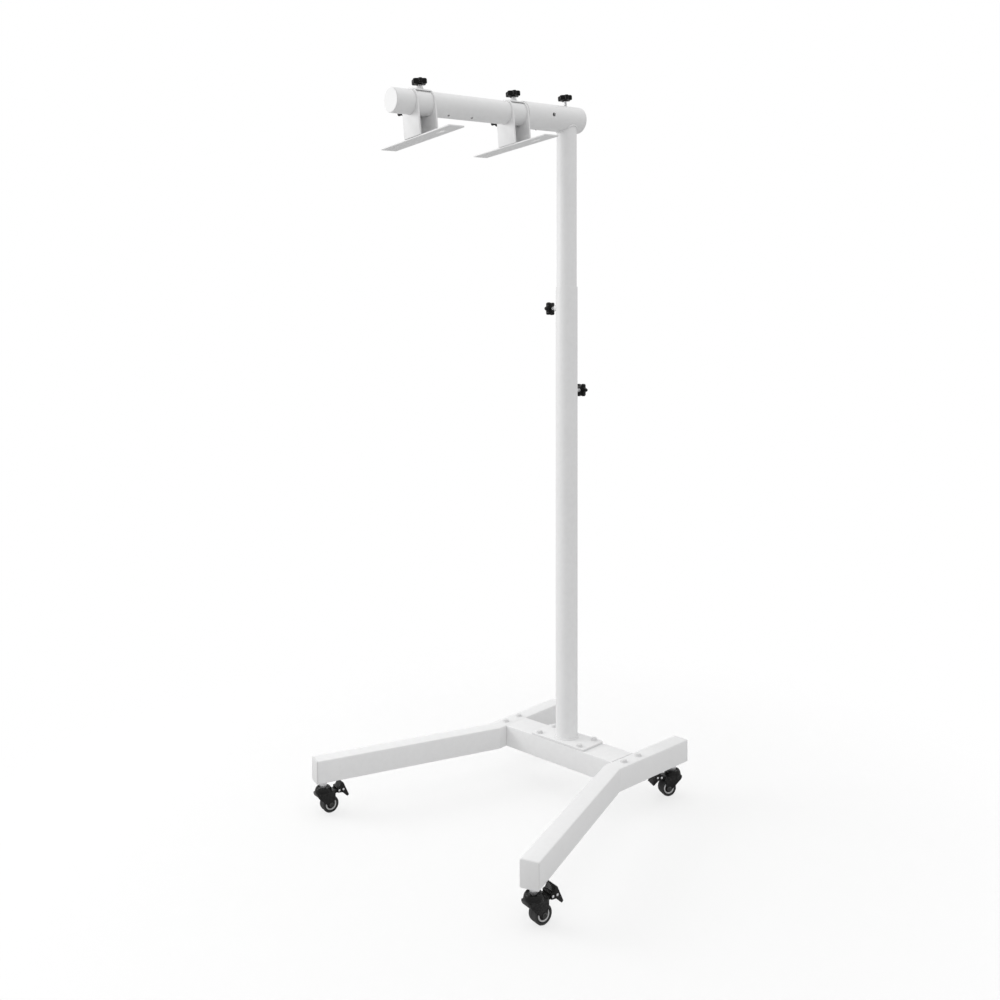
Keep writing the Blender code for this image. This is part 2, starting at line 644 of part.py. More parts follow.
def make_arm(slide, paint, plastic):
    """Make the arm tube, its front cap and the knob that runs in the slot."""
    arm = tube("arm_tube", ARM_RADIUS, ARM_WALL, ARM_REAR, ARM_FRONT - CAP_FLANGE - GAP,
               slide, paint)
    arm.data.transform(Matrix.Rotation(math.pi / 2, 4, "X"))
    for i, ahead in enumerate(ARM_HOLES):
        away = Vector((math.cos(ARM_HOLE_TURN), 0, -math.sin(ARM_HOLE_TURN)))
        centre = Vector((0, -ahead, 0))
        cut(arm, rod(f"cut_arm_{i}", ARM_HOLE_RADIUS, centre + away * 0.02,
                     centre + away * 0.035, slide))
    cut(arm, rod("cut_arm_top", STUD_RADIUS + GAP, (0, -TOP_LOCK, 0.015),
                 (0, -TOP_LOCK, 0.035), slide))
    make_knob("arm_knob_top", slide, (0, -TOP_LOCK, 0), (0, 0, 0),
              ARM_RADIUS - ARM_WALL - 0.004, SLEEVE_TOP_REACH, plastic)
    inside = ARM_RADIUS - ARM_WALL - GAP
    face = ARM_FRONT
    profile = [(inside, face - CAP_FLANGE - CAP_PLUG), (inside, face - CAP_FLANGE),
               (ARM_RADIUS, face - CAP_FLANGE), (ARM_RADIUS, face - 0.0008),
               (ARM_RADIUS - 0.0008, face)]
    cap = turned("arm_front_cap", profile, slide, plastic_white(), ROUND)
    cap.data.transform(Matrix.Rotation(math.pi / 2, 4, "X"))
    return arm


def clamp_outline():
    """Return half a stadium in (x, z): straight sides and a round top."""
    half = CLAMP_HALF_WIDTH
    steps = ROUND // 2
    arc = [(half * math.cos(a), half * math.sin(a))
           for a in (math.pi * i / steps for i in range(steps + 1))]
    low = BAR_TOP + GAP
    return [(-half, low), (half, low)] + arc


def make_clamp(place, bracket, paint, plastic):
    """Make the bent channel that rides on the arm, with its two knobs."""
    loops = [[Vector((x, y, z)) for x, z in clamp_outline()] for y in (CLAMP_REAR, -CLAMP_FRONT)]
    clamp = make_object(f"clamp_{place}", loops, bracket, paint)
    web = -CLAMP_HALF_WIDTH + CLAMP_PLATE - 0.0005
    roof = ARM_RADIUS + 0.0004
    pocket = block(f"cut_clamp_pocket_{place}", (web, CLAMP_PLATE - CLAMP_FRONT, BAR_TOP - 0.02),
                   (CLAMP_HALF_WIDTH + 0.01, CLAMP_REAR - CLAMP_PLATE, roof), bracket)
    bore = rod(f"cut_clamp_bore_{place}", ARM_RADIUS + RUNNING_GAP, (0, -0.05, 0),
               (0, 0.05, 0), bracket, ROUND)
    top = make_boss(f"clamp_top_{place}", bracket, (0, -CLAMP_TOP_KNOB, 0), (0, 0, 1),
                    CLAMP_HALF_WIDTH, CLAMP_TOP_BOSS)
    side = make_boss(f"clamp_side_{place}", bracket, (0, 0, 0), (-1, 0, 0), CLAMP_HALF_WIDTH)
    cut(clamp, pocket, bore)
    weld(clamp, top[0], side[0])
    cut(clamp, top[1], side[1])
    make_knob(f"clamp_knob_top_{place}", bracket, (0, -CLAMP_TOP_KNOB, 0), (0, 0, 0),
              ARM_RADIUS + GAP, CLAMP_TOP_REACH, plastic)
    make_knob(f"clamp_knob_side_{place}", bracket, (0, 0, 0), (0, -math.pi / 2, 0),
              ARM_RADIUS + GAP, CLAMP_SIDE_REACH, plastic)
    return clamp


def make_bar(place, bracket, paint):
    """Make the flat mounting bar, with a round hole at its left and a slot at its right."""
    half = BAR_LENGTH / 2
    bar = block(f"mounting_bar_{place}", (-half, -BAR_WIDTH / 2, -BAR_UNDERSIDE),
                (half, BAR_WIDTH / 2, BAR_TOP), bracket, paint)
    low, high = -BAR_UNDERSIDE - 0.005, BAR_TOP + 0.005
    cut(bar, rod(f"cut_bar_hole_{place}", BAR_HOLE_RADIUS, (-BAR_HOLE_X, 0, low),
                 (-BAR_HOLE_X, 0, high), bracket))
    slot = block(f"cut_bar_slot_{place}", (BAR_SLOT_INNER, -BAR_HOLE_RADIUS, low),
                 (BAR_SLOT_OUTER, BAR_HOLE_RADIUS, high), bracket)
    ends = [rod(f"cut_bar_slot_{place}_{i}", BAR_HOLE_RADIUS, (x, 0, low), (x, 0, high),
                bracket) for i, x in enumerate((BAR_SLOT_INNER, BAR_SLOT_OUTER))]
    cut(bar, slot, *ends)
    return bar


def make_head(root, paint, plastic):
    """Make everything above the outer post."""
    foot = make_empty("post_slide_axis", root)
    make_post_foot(foot, plastic_white())
    swivel = make_empty("post_swivel_axis", foot)
    arm = make_empty("arm_axis", swivel, (0, 0, LEG_TOP + ARM_HEIGHT), (ARM_PITCH, 0, ARM_SWIVEL))
    make_inner_post(swivel, arm, paint)
    make_sleeve(arm, paint, plastic)
    slide = make_empty("arm_slide_axis", arm)
    make_arm(slide, paint, plastic)
    for place, ahead in BRACKETS.items():
        bracket = make_empty(f"bracket_axis_{place}", slide, (0, -ahead, 0))
        make_clamp(place, bracket, paint, plastic)
        make_bar(place, bracket, paint)


# ---- the whole stand --------------------------------------------------------
def stand_on_origin(root):
    """Move the stand so that the middle of its box's underside is the origin."""
    bpy.context.view_layer.update()
    depsgraph = bpy.context.evaluated_depsgraph_get()
    low, high = Vector((1e9,) * 3), Vector((-1e9,) * 3)
    for obj in bpy.data.objects:
        if obj.type != "MESH" or obj.hide_render:
            continue
        ready = obj.evaluated_get(depsgraph)
        for vertex in ready.data.vertices:
            point = ready.matrix_world @ vertex.co
            low = Vector(map(min, low, point))
            high = Vector(map(max, high, point))
    root.location = (-(low.x + high.x) / 2, -(low.y + high.y) / 2, -low.z)
    bpy.context.view_layer.update()


def main():
    """Build the stand."""
    clear_scene()
    paint = make_material("white_powder_coat", (0.88, 0.88, 0.88), 0.45, 0.0)
    black_plastic = make_material("black_plastic", (0.02, 0.02, 0.02), 0.4, 0.0)
    black_metal = make_material("black_coated_steel", (0.03, 0.03, 0.03), 0.35, 0.6)
    rubber = make_material("wheel_rubber", (0.025, 0.025, 0.025), 0.6, 0.0)
    steel = make_material("zinc_plated_steel", (0.65, 0.65, 0.66), 0.3, 1.0)
    root = make_empty("stand")
    make_base(root, paint, plastic_white(), steel)
    make_casters(root, black_metal, rubber, steel)
    make_flange(root, paint)
    make_outer_post(root, paint, black_plastic)
    make_head(root, paint, black_plastic)
    stand_on_origin(root)


main()
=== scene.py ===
"""Finished look of the rolling stand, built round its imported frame.

Every visible piece is made here as its own mesh, in metres and in the frame's
own axes, and rides on the body that it belongs to.  Places and directions come
from the frame's joints; each class holds the sizes of one sub-assembly.
"""

import json
import logging
import math
from dataclasses import dataclass, field
from enum import Enum
from typing import Callable, Dict, List, Optional, Sequence, Tuple

import bpy
from mathutils import Matrix, Vector, noise


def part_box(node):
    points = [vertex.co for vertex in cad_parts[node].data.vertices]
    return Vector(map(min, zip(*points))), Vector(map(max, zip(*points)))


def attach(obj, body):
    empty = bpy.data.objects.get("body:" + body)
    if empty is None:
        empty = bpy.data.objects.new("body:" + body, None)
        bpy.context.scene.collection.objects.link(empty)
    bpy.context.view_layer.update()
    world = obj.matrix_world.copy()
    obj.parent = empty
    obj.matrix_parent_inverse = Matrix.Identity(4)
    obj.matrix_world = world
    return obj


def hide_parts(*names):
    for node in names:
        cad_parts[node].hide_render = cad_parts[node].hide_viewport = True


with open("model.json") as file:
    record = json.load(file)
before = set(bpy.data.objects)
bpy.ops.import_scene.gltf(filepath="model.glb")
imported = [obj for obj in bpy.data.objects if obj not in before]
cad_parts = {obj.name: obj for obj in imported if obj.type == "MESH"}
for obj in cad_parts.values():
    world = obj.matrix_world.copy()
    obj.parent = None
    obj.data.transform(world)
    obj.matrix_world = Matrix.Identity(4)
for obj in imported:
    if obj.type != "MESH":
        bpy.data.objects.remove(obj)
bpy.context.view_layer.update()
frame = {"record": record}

LOG = logging.getLogger("stand")

Pair = Tuple[float, float]
Rgb = Tuple[float, float, float]
Loop = List[Vector]

GAP = 0.0003
TUBE_SIDES = 96
SMALL_SIDES = 40
AROUND = 2 * math.pi


class Side(Enum):
    """The stand's right and left, as the sign of X."""

    RIGHT = 1
    LEFT = -1


class End(Enum):
    """The front and rear of the stand, as the sign of Y."""

    FRONT = -1
    REAR = 1


# ---- frames and joints -------------------------------------------------------
@dataclass(frozen=True)
class Place:
    """A local set of axes in the frame."""

    origin: Vector
    x: Vector
    y: Vector
    z: Vector

    @staticmethod
    def facing(origin: Vector, z: Vector, x_hint: Vector) -> "Place":
        """Return axes whose Z is given and whose X lies as near the hint as it can.

        Args:
            origin: the place's zero point.
            z: the direction of the local Z.
            x_hint: a direction near the local X.

        Returns:
            The right-handed place.
        """
        up = z.normalized()
        side = (x_hint - up * x_hint.dot(up)).normalized()
        return Place(origin.copy(), side, up.cross(side), up)

    def matrix(self) -> Matrix:
        """Return the matrix from local points to the frame."""
        turn = Matrix((self.x, self.y, self.z)).transposed().to_4x4()
        return Matrix.Translation(self.origin) @ turn

    def at(self, x: float, y: float, z: float) -> Vector:
        """Return a local point in the frame."""
        return self.origin + self.x * x + self.y * y + self.z * z

    def moved(self, x: float, y: float, z: float) -> "Place":
        """Return the same axes at another local point."""
        return Place(self.at(x, y, z), self.x, self.y, self.z)


def joint(name: str) -> Tuple[Vector, Vector]:
    """Return a joint's point and axis.

    Args:
        name: the joint's name in the record.

    Returns:
        The point, or zero for a slide, and the unit axis.
    """
    for entry in frame["record"]["behaviour"]["joints"]:
        if entry["name"] == name:
            return Vector(entry.get("pos_m", (0, 0, 0))), Vector(entry["axis"]).normalized()
    raise KeyError(name)


def arm_place() -> Place:
    """Return the arm's axes: X right, Y back along the arm, Z up, zero over the post."""
    point, _ = joint("arm_knob_top_turn")
    _, forward = joint("arm_slide")
    post, _ = joint("post_swivel")
    ahead = (Vector((point.x, point.y, 0)) - Vector((post.x, post.y, 0))).length
    run = Vector((forward.x, forward.y, 0)).length
    origin = point - forward * (ahead / run)
    back = -forward
    right = back.cross(Vector((0, 0, 1))).normalized()
    return Place(origin, right, back, right.cross(back))


# ---- meshes ------------------------------------------------------------------
def ring(radius: float, z: float, sides: int) -> Loop:
    """Return a circle of points about the local Z."""
    return [Vector((radius * math.sin(AROUND * i / sides), -radius * math.cos(AROUND * i / sides), z))
            for i in range(sides)]


def rounded_box(width: float, depth: float, radius: float, steps: int = 4) -> List[Pair]:
    """Return a rectangle with round corners, anticlockwise about its middle.

    Args:
        width: the size along the first axis.
        depth: the size along the second axis.
        radius: the corners' radius.
        steps: the facets of one corner.

    Returns:
        The outline's points.
    """
    points = []
    for i, (sx, sy) in enumerate(((1, 1), (-1, 1), (-1, -1), (1, -1))):
        cx, cy = sx * (width / 2 - radius), sy * (depth / 2 - radius)
        for step in range(steps + 1):
            angle = math.pi / 2 * (i + step / steps)
            points.append((cx + radius * math.cos(angle), cy + radius * math.sin(angle)))
    return points


def skin(name: str, loops: Sequence[Loop], closed: bool = False) -> bpy.types.Object:
    """Make an object from a row of loops of points.

    Args:
        name: the object's name.
        loops: the loops, anticlockwise about the way that they follow one another.
        closed: joins the last loop to the first, and leaves out the end faces.

    Returns:
        The object, with its mesh in local axes.
    """
    count = len(loops[0])
    rows = len(loops)
    faces: List[Tuple[int, ...]] = []
    for row in range(rows if closed else rows - 1):
        low, high = row * count, ((row + 1) % rows) * count
        faces += [(low + i, low + (i + 1) % count, high + (i + 1) % count, high + i)
                  for i in range(count)]
    if not closed:
        faces.append(tuple(reversed(range(count))))
        faces.append(tuple(range((rows - 1) * count, rows * count)))
    mesh = bpy.data.meshes.new(name)
    mesh.from_pydata([tuple(p) for loop in loops for p in loop], [], faces)
    mesh.validate()
    obj = bpy.data.objects.new(name, mesh)
    bpy.context.collection.objects.link(obj)
    return obj


def turned(name: str, profile: Sequence[Pair], sides: int = TUBE_SIDES,
           closed: bool = False) -> bpy.types.Object:
    """Turn a profile of (radius, height) points, bottom to top, about the local Z."""
    return skin(name, [ring(radius, z, sides) for radius, z in profile], closed)


def prism(name: str, outline: Sequence[Pair], low: float, high: float) -> bpy.types.Object:
    """Extrude an anticlockwise outline in X and Y from one height to another."""
    return skin(name, [[Vector((x, y, z)) for x, y in outline] for z in (low, high)])


def side_prism(name: str, outline: Sequence[Pair], half: float) -> bpy.types.Object:
    """Extrude an anticlockwise outline in Y and Z to both sides along X."""
    return skin(name, [[Vector((x, y, z)) for y, z in outline] for x in (-half, half)])


def cylinder(name: str, radius: float, start: Vector, end: Vector,
             sides: int = SMALL_SIDES) -> bpy.types.Object:
    """Make a plain cylinder between two points, for welding on or cutting away."""
    along = Vector(end) - Vector(start)
    obj = turned(name, [(radius, 0), (radius, along.length)], sides)
    turn = along.to_track_quat("Z", "Y").to_matrix().to_4x4()
    obj.data.transform(Matrix.Translation(start) @ turn)
    return obj


def settle(obj: bpy.types.Object) -> bpy.types.Object:
    """Turn an object's modifiers into plain mesh."""
    graph = bpy.context.evaluated_depsgraph_get()
    mesh = bpy.data.meshes.new_from_object(obj.evaluated_get(graph))
    old = obj.data
    obj.modifiers.clear()
    obj.data = mesh
    if old.users == 0:
        bpy.data.meshes.remove(old)
    return obj


def combine(obj: bpy.types.Object, operation: str,
            tools: Sequence[bpy.types.Object]) -> bpy.types.Object:
    """Weld tools on or cut them away, and remove them.

    Args:
        obj: the object that is changed.
        operation: UNION or DIFFERENCE.
        tools: the objects that are used up.

    Returns:
        The changed object.
    """
    for tool in tools:
        modifier = obj.modifiers.new("join", "BOOLEAN")
        modifier.operation = operation
        modifier.object = tool
        modifier.solver = "EXACT"
    settle(obj)
    for tool in tools:
        mesh = tool.data
        bpy.data.objects.remove(tool, do_unlink=True)
        bpy.data.meshes.remove(mesh)
    return obj


def soften(obj: bpy.types.Object, width: float, segments: int = 2,
           angle: float = 40.0) -> bpy.types.Object:
    """Round an object's sharp edges.

    Args:
        obj: the object that is changed.
        width: the bevel's width.
        segments: the facets across it.
        angle: the least angle, in degrees, that counts as sharp.

    Returns:
        The changed object.
    """
    bevel = obj.modifiers.new("edge", "BEVEL")
    bevel.width = width
    bevel.segments = segments
    bevel.limit_method = "ANGLE"
    bevel.angle_limit = math.radians(angle)
    bevel.use_clamp_overlap = True
    return settle(obj)


def join(name: str, parts: Sequence[bpy.types.Object]) -> bpy.types.Object:
    """Put several meshes into one object.

    Args:
        name: the new object's name.
        parts: the objects that are used up.

    Returns:
        The joined object.
    """
    points: List[Tuple[float, ...]] = []
    faces: List[Tuple[int, ...]] = []
    for part in parts:
        start = len(points)
        points += [tuple(part.matrix_world @ v.co) for v in part.data.vertices]
        faces += [tuple(start + i for i in polygon.vertices) for polygon in part.data.polygons]
    mesh = bpy.data.meshes.new(name)
    mesh.from_pydata(points, [], faces)
    for part in parts:
        bpy.data.objects.remove(part, do_unlink=True)
    obj = bpy.data.objects.new(name, mesh)
    bpy.context.collection.objects.link(obj)
    return obj


def add_piece(obj: bpy.types.Object, place: Optional[Place], body: str, finish: "Finish",
              nodes: Sequence[str] = (), smooth: float = 38.0) -> bpy.types.Object:
    """Place a finished mesh, dress it, parent it to its body's empty and hide the frame's parts that it
    stands for.

    Args:
        obj: the piece, in the place's own axes.
        place: where it goes, or None where it is in the frame's axes already.
        body: the body that it rides on.
        finish: its surface.
        nodes: the frame's nodes that it stands for.
        smooth: edges sharper than this many degrees stay sharp.

    Returns:
        The piece.
    """
    if place:
        obj.data.transform(place.matrix())
    obj.data.shade_smooth()
    obj.data.set_sharp_from_angle(angle=math.radians(smooth))
    obj.data.materials.clear()
    obj.data.materials.append(finish.material())
    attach(obj, body)
    if nodes:
        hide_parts(*nodes)
    LOG.info("%s rides on %s, %d faces", obj.name, body, len(obj.data.polygons))
    return obj


# ---- shader groups -----------------------------------------------------------
class Nodes:
    """A short way to write a node tree."""

    def __init__(self, tree: bpy.types.NodeTree) -> None:
        """Take the tree that nodes are added to."""
        self.tree = tree

    def add(self, kind: str, inputs: Optional[Dict[str, object]] = None,
            **settings: object) -> bpy.types.Node:
        """Add a node, set its properties, and set or link its inputs.

        Args:
            kind: the node's type.
            inputs: input name or number to a value or an output socket.
            settings: the node's own properties.

        Returns:
            The node.
        """
        node = self.tree.nodes.new(kind)
        for key, value in settings.items():
            setattr(node, key, value)
        for key, value in (inputs or {}).items():
            socket = node.inputs[key]
            if isinstance(value, bpy.types.NodeSocket):
                self.tree.links.new(value, socket)
            else:
                socket.default_value = value
        return node

    def math(self, operation: str, first: object, second: object = 0.0) -> bpy.types.NodeSocket:
        """Return the result of a Math node."""
        return self.add("ShaderNodeMath", {0: first, 1: second}, operation=operation).outputs[0]


def group_tree(name: str, inputs: Dict[str, Tuple[str, object]],
               output: Tuple[str, str]) -> Tuple[bpy.types.NodeTree, Nodes, bpy.types.Node, bpy.types.Node]:
    """Start a shader node group with named sockets.

    Args:
        name: the group's name.
        inputs: input name to its socket type and first value.
        output: the output's name and socket type.

    Returns:
        The tree, its writer, its input node and its output node.
    """
    tree = bpy.data.node_groups.new(name, "ShaderNodeTree")
    for label, (kind, value) in inputs.items():
        socket = tree.interface.new_socket(name=label, in_out="INPUT", socket_type=kind)
        socket.default_value = value
    tree.interface.new_socket(name=output[0], in_out="OUTPUT", socket_type=output[1])
    nodes = Nodes(tree)
    return tree, nodes, nodes.add("NodeGroupInput"), nodes.add("NodeGroupOutput")


FLOAT = "NodeSocketFloat"
COLOUR = "NodeSocketColor"


def grain_group() -> bpy.types.NodeTree:
    """Return the fine relief of a coat or moulding: soft cells under a fine noise."""
    tree, nodes, given, out = group_tree(
        "surface_grain", {"Cell Size": (FLOAT, 0.002), "Fine Size": (FLOAT, 0.0006)},
        ("Height", FLOAT))
    where = nodes.add("ShaderNodeTexCoord").outputs["Object"]
    cells = nodes.add("ShaderNodeTexVoronoi", {
        "Vector": where, "Scale": nodes.math("DIVIDE", 1.0, given.outputs["Cell Size"]),
        "Smoothness": 1.0}, feature="SMOOTH_F1")
    fine = nodes.add("ShaderNodeTexNoise", {
        "Vector": where, "Scale": nodes.math("DIVIDE", 1.0, given.outputs["Fine Size"]),
        "Detail": 3.0})
    half = nodes.math("MULTIPLY", fine.outputs[0], 0.5)
    total = nodes.math("ADD", cells.outputs["Distance"], half)
    tree.links.new(total, out.inputs["Height"])
    return tree


def drift_group() -> bpy.types.NodeTree:
    """Return a colour that drifts slowly between two tones."""
    tree, nodes, given, out = group_tree(
        "tone_drift", {"Light": (COLOUR, (1, 1, 1, 1)), "Dark": (COLOUR, (1, 1, 1, 1)),
                       "Size": (FLOAT, 0.08)}, ("Colour", COLOUR))
    where = nodes.add("ShaderNodeTexCoord").outputs["Object"]
    slow = nodes.add("ShaderNodeTexNoise", {
        "Vector": where, "Scale": nodes.math("DIVIDE", 1.0, given.outputs["Size"]),
        "Detail": 4.0, "Roughness": 0.6})
    mask = nodes.add("ShaderNodeMapRange", {"Value": slow.outputs[0], "From Min": 0.35,
                                            "From Max": 0.65})
    mix = mix_colour(nodes, mask.outputs[0], given.outputs["Light"], given.outputs["Dark"])
    tree.links.new(mix, out.inputs["Colour"])
    return tree


def mix_colour(nodes: Nodes, factor: object, first: object,
               second: object) -> bpy.types.NodeSocket:
    """Return two colours mixed by a factor.

    Args:
        nodes: the tree's writer.
        factor: a value or socket.
        first: the colour at factor 0.
        second: the colour at factor 1.

    Returns:
        The mixed colour's socket.
    """
    node = nodes.tree.nodes.new("ShaderNodeMix")
    node.data_type = "RGBA"
    for index, value in ((0, factor), (6, first), (7, second)):
        if isinstance(value, bpy.types.NodeSocket):
            nodes.tree.links.new(value, node.inputs[index])
        else:
            node.inputs[index].default_value = value
    return node.outputs[2]


def wear_and_highlight_group() -> bpy.types.NodeTree:
    """Return a mask that is one on outer edges, broken up by noise: rubbed wear, and on black steel partly
    a painted edge highlight.
    """
    tree, nodes, given, out = group_tree(
        "edge_wear", {"Reach": (FLOAT, 0.06), "Patch Size": (FLOAT, 0.01)}, ("Mask", FLOAT))
    where = nodes.add("ShaderNodeTexCoord").outputs["Object"]
    edge = nodes.add("ShaderNodeNewGeometry").outputs["Pointiness"]
    top = nodes.math("ADD", 0.5, given.outputs["Reach"])
    rim = nodes.add("ShaderNodeMapRange", {"Value": edge, "From Min": 0.53, "From Max": top})
    patch = nodes.add("ShaderNodeTexNoise", {
        "Vector": where, "Scale": nodes.math("DIVIDE", 1.0, given.outputs["Patch Size"]),
        "Detail": 5.0})
    broken = nodes.add("ShaderNodeMapRange", {"Value": patch.outputs[0], "From Min": 0.42,
                                              "From Max": 0.62})
    tree.links.new(nodes.math("MULTIPLY", rim.outputs[0], broken.outputs[0]),
                   out.inputs["Mask"])
    return tree


def dust_group() -> bpy.types.NodeTree:
    """Return a mask of the dust that gathers low on the stand."""
    tree, nodes, given, out = group_tree(
        "low_dust", {"Height": (FLOAT, 0.12), "Amount": (FLOAT, 0.3)}, ("Mask", FLOAT))
    where = nodes.add("ShaderNodeTexCoord").outputs["Object"]
    height = nodes.add("ShaderNodeSeparateXYZ", {0: where}).outputs[2]
    low = nodes.add("ShaderNodeMapRange", {"Value": height, "From Min": 0.0,
                                           "From Max": given.outputs["Height"],
                                           "To Min": 1.0, "To Max": 0.0})
    speck = nodes.add("ShaderNodeTexNoise", {"Vector": where, "Scale": 160.0, "Detail": 6.0})
    spread = nodes.math("MULTIPLY", low.outputs[0], speck.outputs[0])
    tree.links.new(nodes.math("MULTIPLY", spread, given.outputs["Amount"]), out.inputs["Mask"])
    return tree


def brush_group() -> bpy.types.NodeTree:
    """Return the fine lines that turning or drawing leaves on plated steel."""
    tree, nodes, given, out = group_tree(
        "drawn_lines", {"Pitch": (FLOAT, 0.0004), "Along": ("NodeSocketVector", (1, 1, 8))},
        ("Height", FLOAT))
    where = nodes.add("ShaderNodeTexCoord").outputs["Object"]
    stretched = nodes.add("ShaderNodeVectorMath", {0: where, 1: given.outputs["Along"]},
                          operation="MULTIPLY").outputs[0]
    lines = nodes.add("ShaderNodeTexNoise", {
        "Vector": stretched, "Scale": nodes.math("DIVIDE", 0.2, given.outputs["Pitch"]),
        "Detail": 4.0})
    tree.links.new(lines.outputs[0], out.inputs["Height"])
    return tree


GROUPS: Dict[str, bpy.types.NodeTree] = {}
GROUP_MAKERS: Dict[str, Callable[[], bpy.types.NodeTree]] = {
    "grain": grain_group, "drift": drift_group, "wear_and_highlight": wear_and_highlight_group, "dust": dust_group,
    "lines": brush_group}


def group(nodes: Nodes, name: str, inputs: Dict[str, object]) -> bpy.types.NodeSocket:
    """Place a shader group in a material and return its output.

    Args:
        nodes: the material's writer.
        name: the group's short name.
        inputs: the group's values.

    Returns:
        The group's only output.
    """
    if name not in GROUPS:
        GROUPS[name] = GROUP_MAKERS[name]()
    node = nodes.tree.nodes.new("ShaderNodeGroup")
    node.node_tree = GROUPS[name]
    for key, value in inputs.items():
        node.inputs[key].default_value = value
    return node.outputs[0]


# ---- finishes ----------------------------------------------------------------
@dataclass(frozen=True)
class Finish:
    """A surface: its two tones, its gloss, its grain, and its edge tone, which is wear and on black steel
    partly a painted edge highlight.
    """

    name: str
    light: Rgb
    dark: Rgb
    roughness: float
    metallic: float = 0.0
    rough_range: float = 0.06
    cell: float = 0.002
    fine: float = 0.0006
    relief: float = 0.00003
    drift: float = 0.08
    # Edge tone and mask sizes: rubbed wear, and on black steel partly a painted highlight along the edges.
    wear_and_highlight_tone: Rgb = (0.6, 0.6, 0.6)
    wear_reach: float = 0.08
    wear_amount: float = 0.3
    dust: float = 0.0
    specular: float = 0.5

    def material(self) -> bpy.types.Material:
        """Return the finish's material, made once."""
        return bpy.data.materials.get(self.name) or self.build()

    def height(self, nodes: Nodes) -> bpy.types.NodeSocket:
        """Return the relief that the surface's bump reads."""
        return group(nodes, "grain", {"Cell Size": self.cell, "Fine Size": self.fine})

    def build(self) -> bpy.types.Material:
        """Make the finish's material.

        Returns:
            The material, with one Principled shader.
        """
        material = bpy.data.materials.new(self.name)
        material.use_nodes = True
        nodes = Nodes(material.node_tree)
        shader = material.node_tree.nodes["Principled BSDF"]
        tone = group(nodes, "drift", {"Light": (*self.light, 1), "Dark": (*self.dark, 1),
                                      "Size": self.drift})
        # Edge mask: rubbed wear, and on black steel partly a painted highlight along the edges.
        wear_and_highlight_mask = group(nodes, "wear_and_highlight", {"Reach": self.wear_reach, "Patch Size": self.drift / 6})
        wear_and_highlight_mask = nodes.math("MULTIPLY", wear_and_highlight_mask, self.wear_amount)
        tone = mix_colour(nodes, wear_and_highlight_mask, tone, (*self.wear_and_highlight_tone, 1))
        dusty = group(nodes, "dust", {"Height": 0.14, "Amount": self.dust})
        tone = mix_colour(nodes, dusty, tone, (0.46, 0.44, 0.41, 1))
        height = self.height(nodes)
        shine = nodes.add("ShaderNodeMapRange", {
            "Value": height, "To Min": self.roughness - self.rough_range,
            "To Max": self.roughness + self.rough_range}).outputs[0]
        shine = nodes.math("ADD", shine, nodes.math("MULTIPLY", dusty, 0.3))
        bump = nodes.add("ShaderNodeBump", {"Height": height, "Distance": self.relief,
                                            "Strength": 1.0})
        links = material.node_tree.links
        links.new(tone, shader.inputs["Base Color"])
        links.new(shine, shader.inputs["Roughness"])
        links.new(bump.outputs[0], shader.inputs["Normal"])
        shader.inputs["Metallic"].default_value = self.metallic
        shader.inputs["Specular IOR Level"].default_value = self.specular
        return material


@dataclass(frozen=True)
class DrawnSteel(Finish):
    """Plated steel with the fine lines of its drawing or turning."""

    along: Rgb = (1, 1, 8)

    def height(self, nodes: Nodes) -> bpy.types.NodeSocket:
        """Return the lines' relief."""
        return group(nodes, "lines", {"Pitch": self.fine, "Along": self.along})


WHITE_COAT = Finish("white_powder_coat", (0.800, 0.800, 0.802), (0.790, 0.790, 0.792), 0.44,
                    cell=0.0022, fine=0.0007, relief=0.000025, rough_range=0.04,
                    wear_and_highlight_tone=(0.66, 0.66, 0.66), wear_amount=0.12, dust=0.05, specular=0.35)
WHITE_PLASTIC = Finish("white_moulded_plastic", (0.845, 0.845, 0.845), (0.835, 0.835, 0.835),
                       0.5, cell=0.0012, fine=0.0004, relief=0.00002, rough_range=0.04,
                       wear_and_highlight_tone=(0.74, 0.74, 0.74), wear_amount=0.12, dust=0.04, specular=0.35)
PLUG_PLASTIC = Finish("leg_plug_plastic", (0.735, 0.735, 0.735), (0.725, 0.725, 0.725), 0.5,
                      cell=0.0012, fine=0.0004, relief=0.00002, rough_range=0.04,
                      wear_and_highlight_tone=(0.66, 0.66, 0.66), wear_amount=0.12, dust=0.04, specular=0.3)
BLACK_PLASTIC = Finish("black_moulded_plastic", (0.002, 0.002, 0.002), (0.004, 0.004, 0.004),
                       0.28, cell=0.0010, fine=0.0003, relief=0.00005, drift=0.02,
                       wear_and_highlight_tone=(0.05, 0.05, 0.05), wear_amount=0.4, specular=0.14)
# The lighter edge tone here is partly a painted highlight along the pedal's and fork's edges, and partly
# rubbed coat.
BLACK_STEEL = Finish("black_coated_steel", (0.0025, 0.0025, 0.0025), (0.005, 0.005, 0.005), 0.24,
                     cell=0.0014, fine=0.0004, relief=0.00002, drift=0.02,
                     wear_and_highlight_tone=(0.12, 0.12, 0.12), wear_amount=0.35, dust=0.02, specular=0.2)
ZINC = DrawnSteel("zinc_plated_steel", (0.74, 0.74, 0.75), (0.64, 0.64, 0.65), 0.32,
                  metallic=0.8, rough_range=0.08, fine=0.0005, relief=0.00002, drift=0.01,
                  wear_and_highlight_tone=(0.8, 0.8, 0.8), wear_amount=0.3, dust=0.05)
PAINTED_BOLT = Finish("painted_bolt", (0.77, 0.77, 0.772), (0.72, 0.72, 0.722), 0.36,
                      metallic=0.0, cell=0.0012, fine=0.0004, relief=0.00003, drift=0.006,
                      wear_and_highlight_tone=(0.5, 0.5, 0.5), wear_amount=0.4)
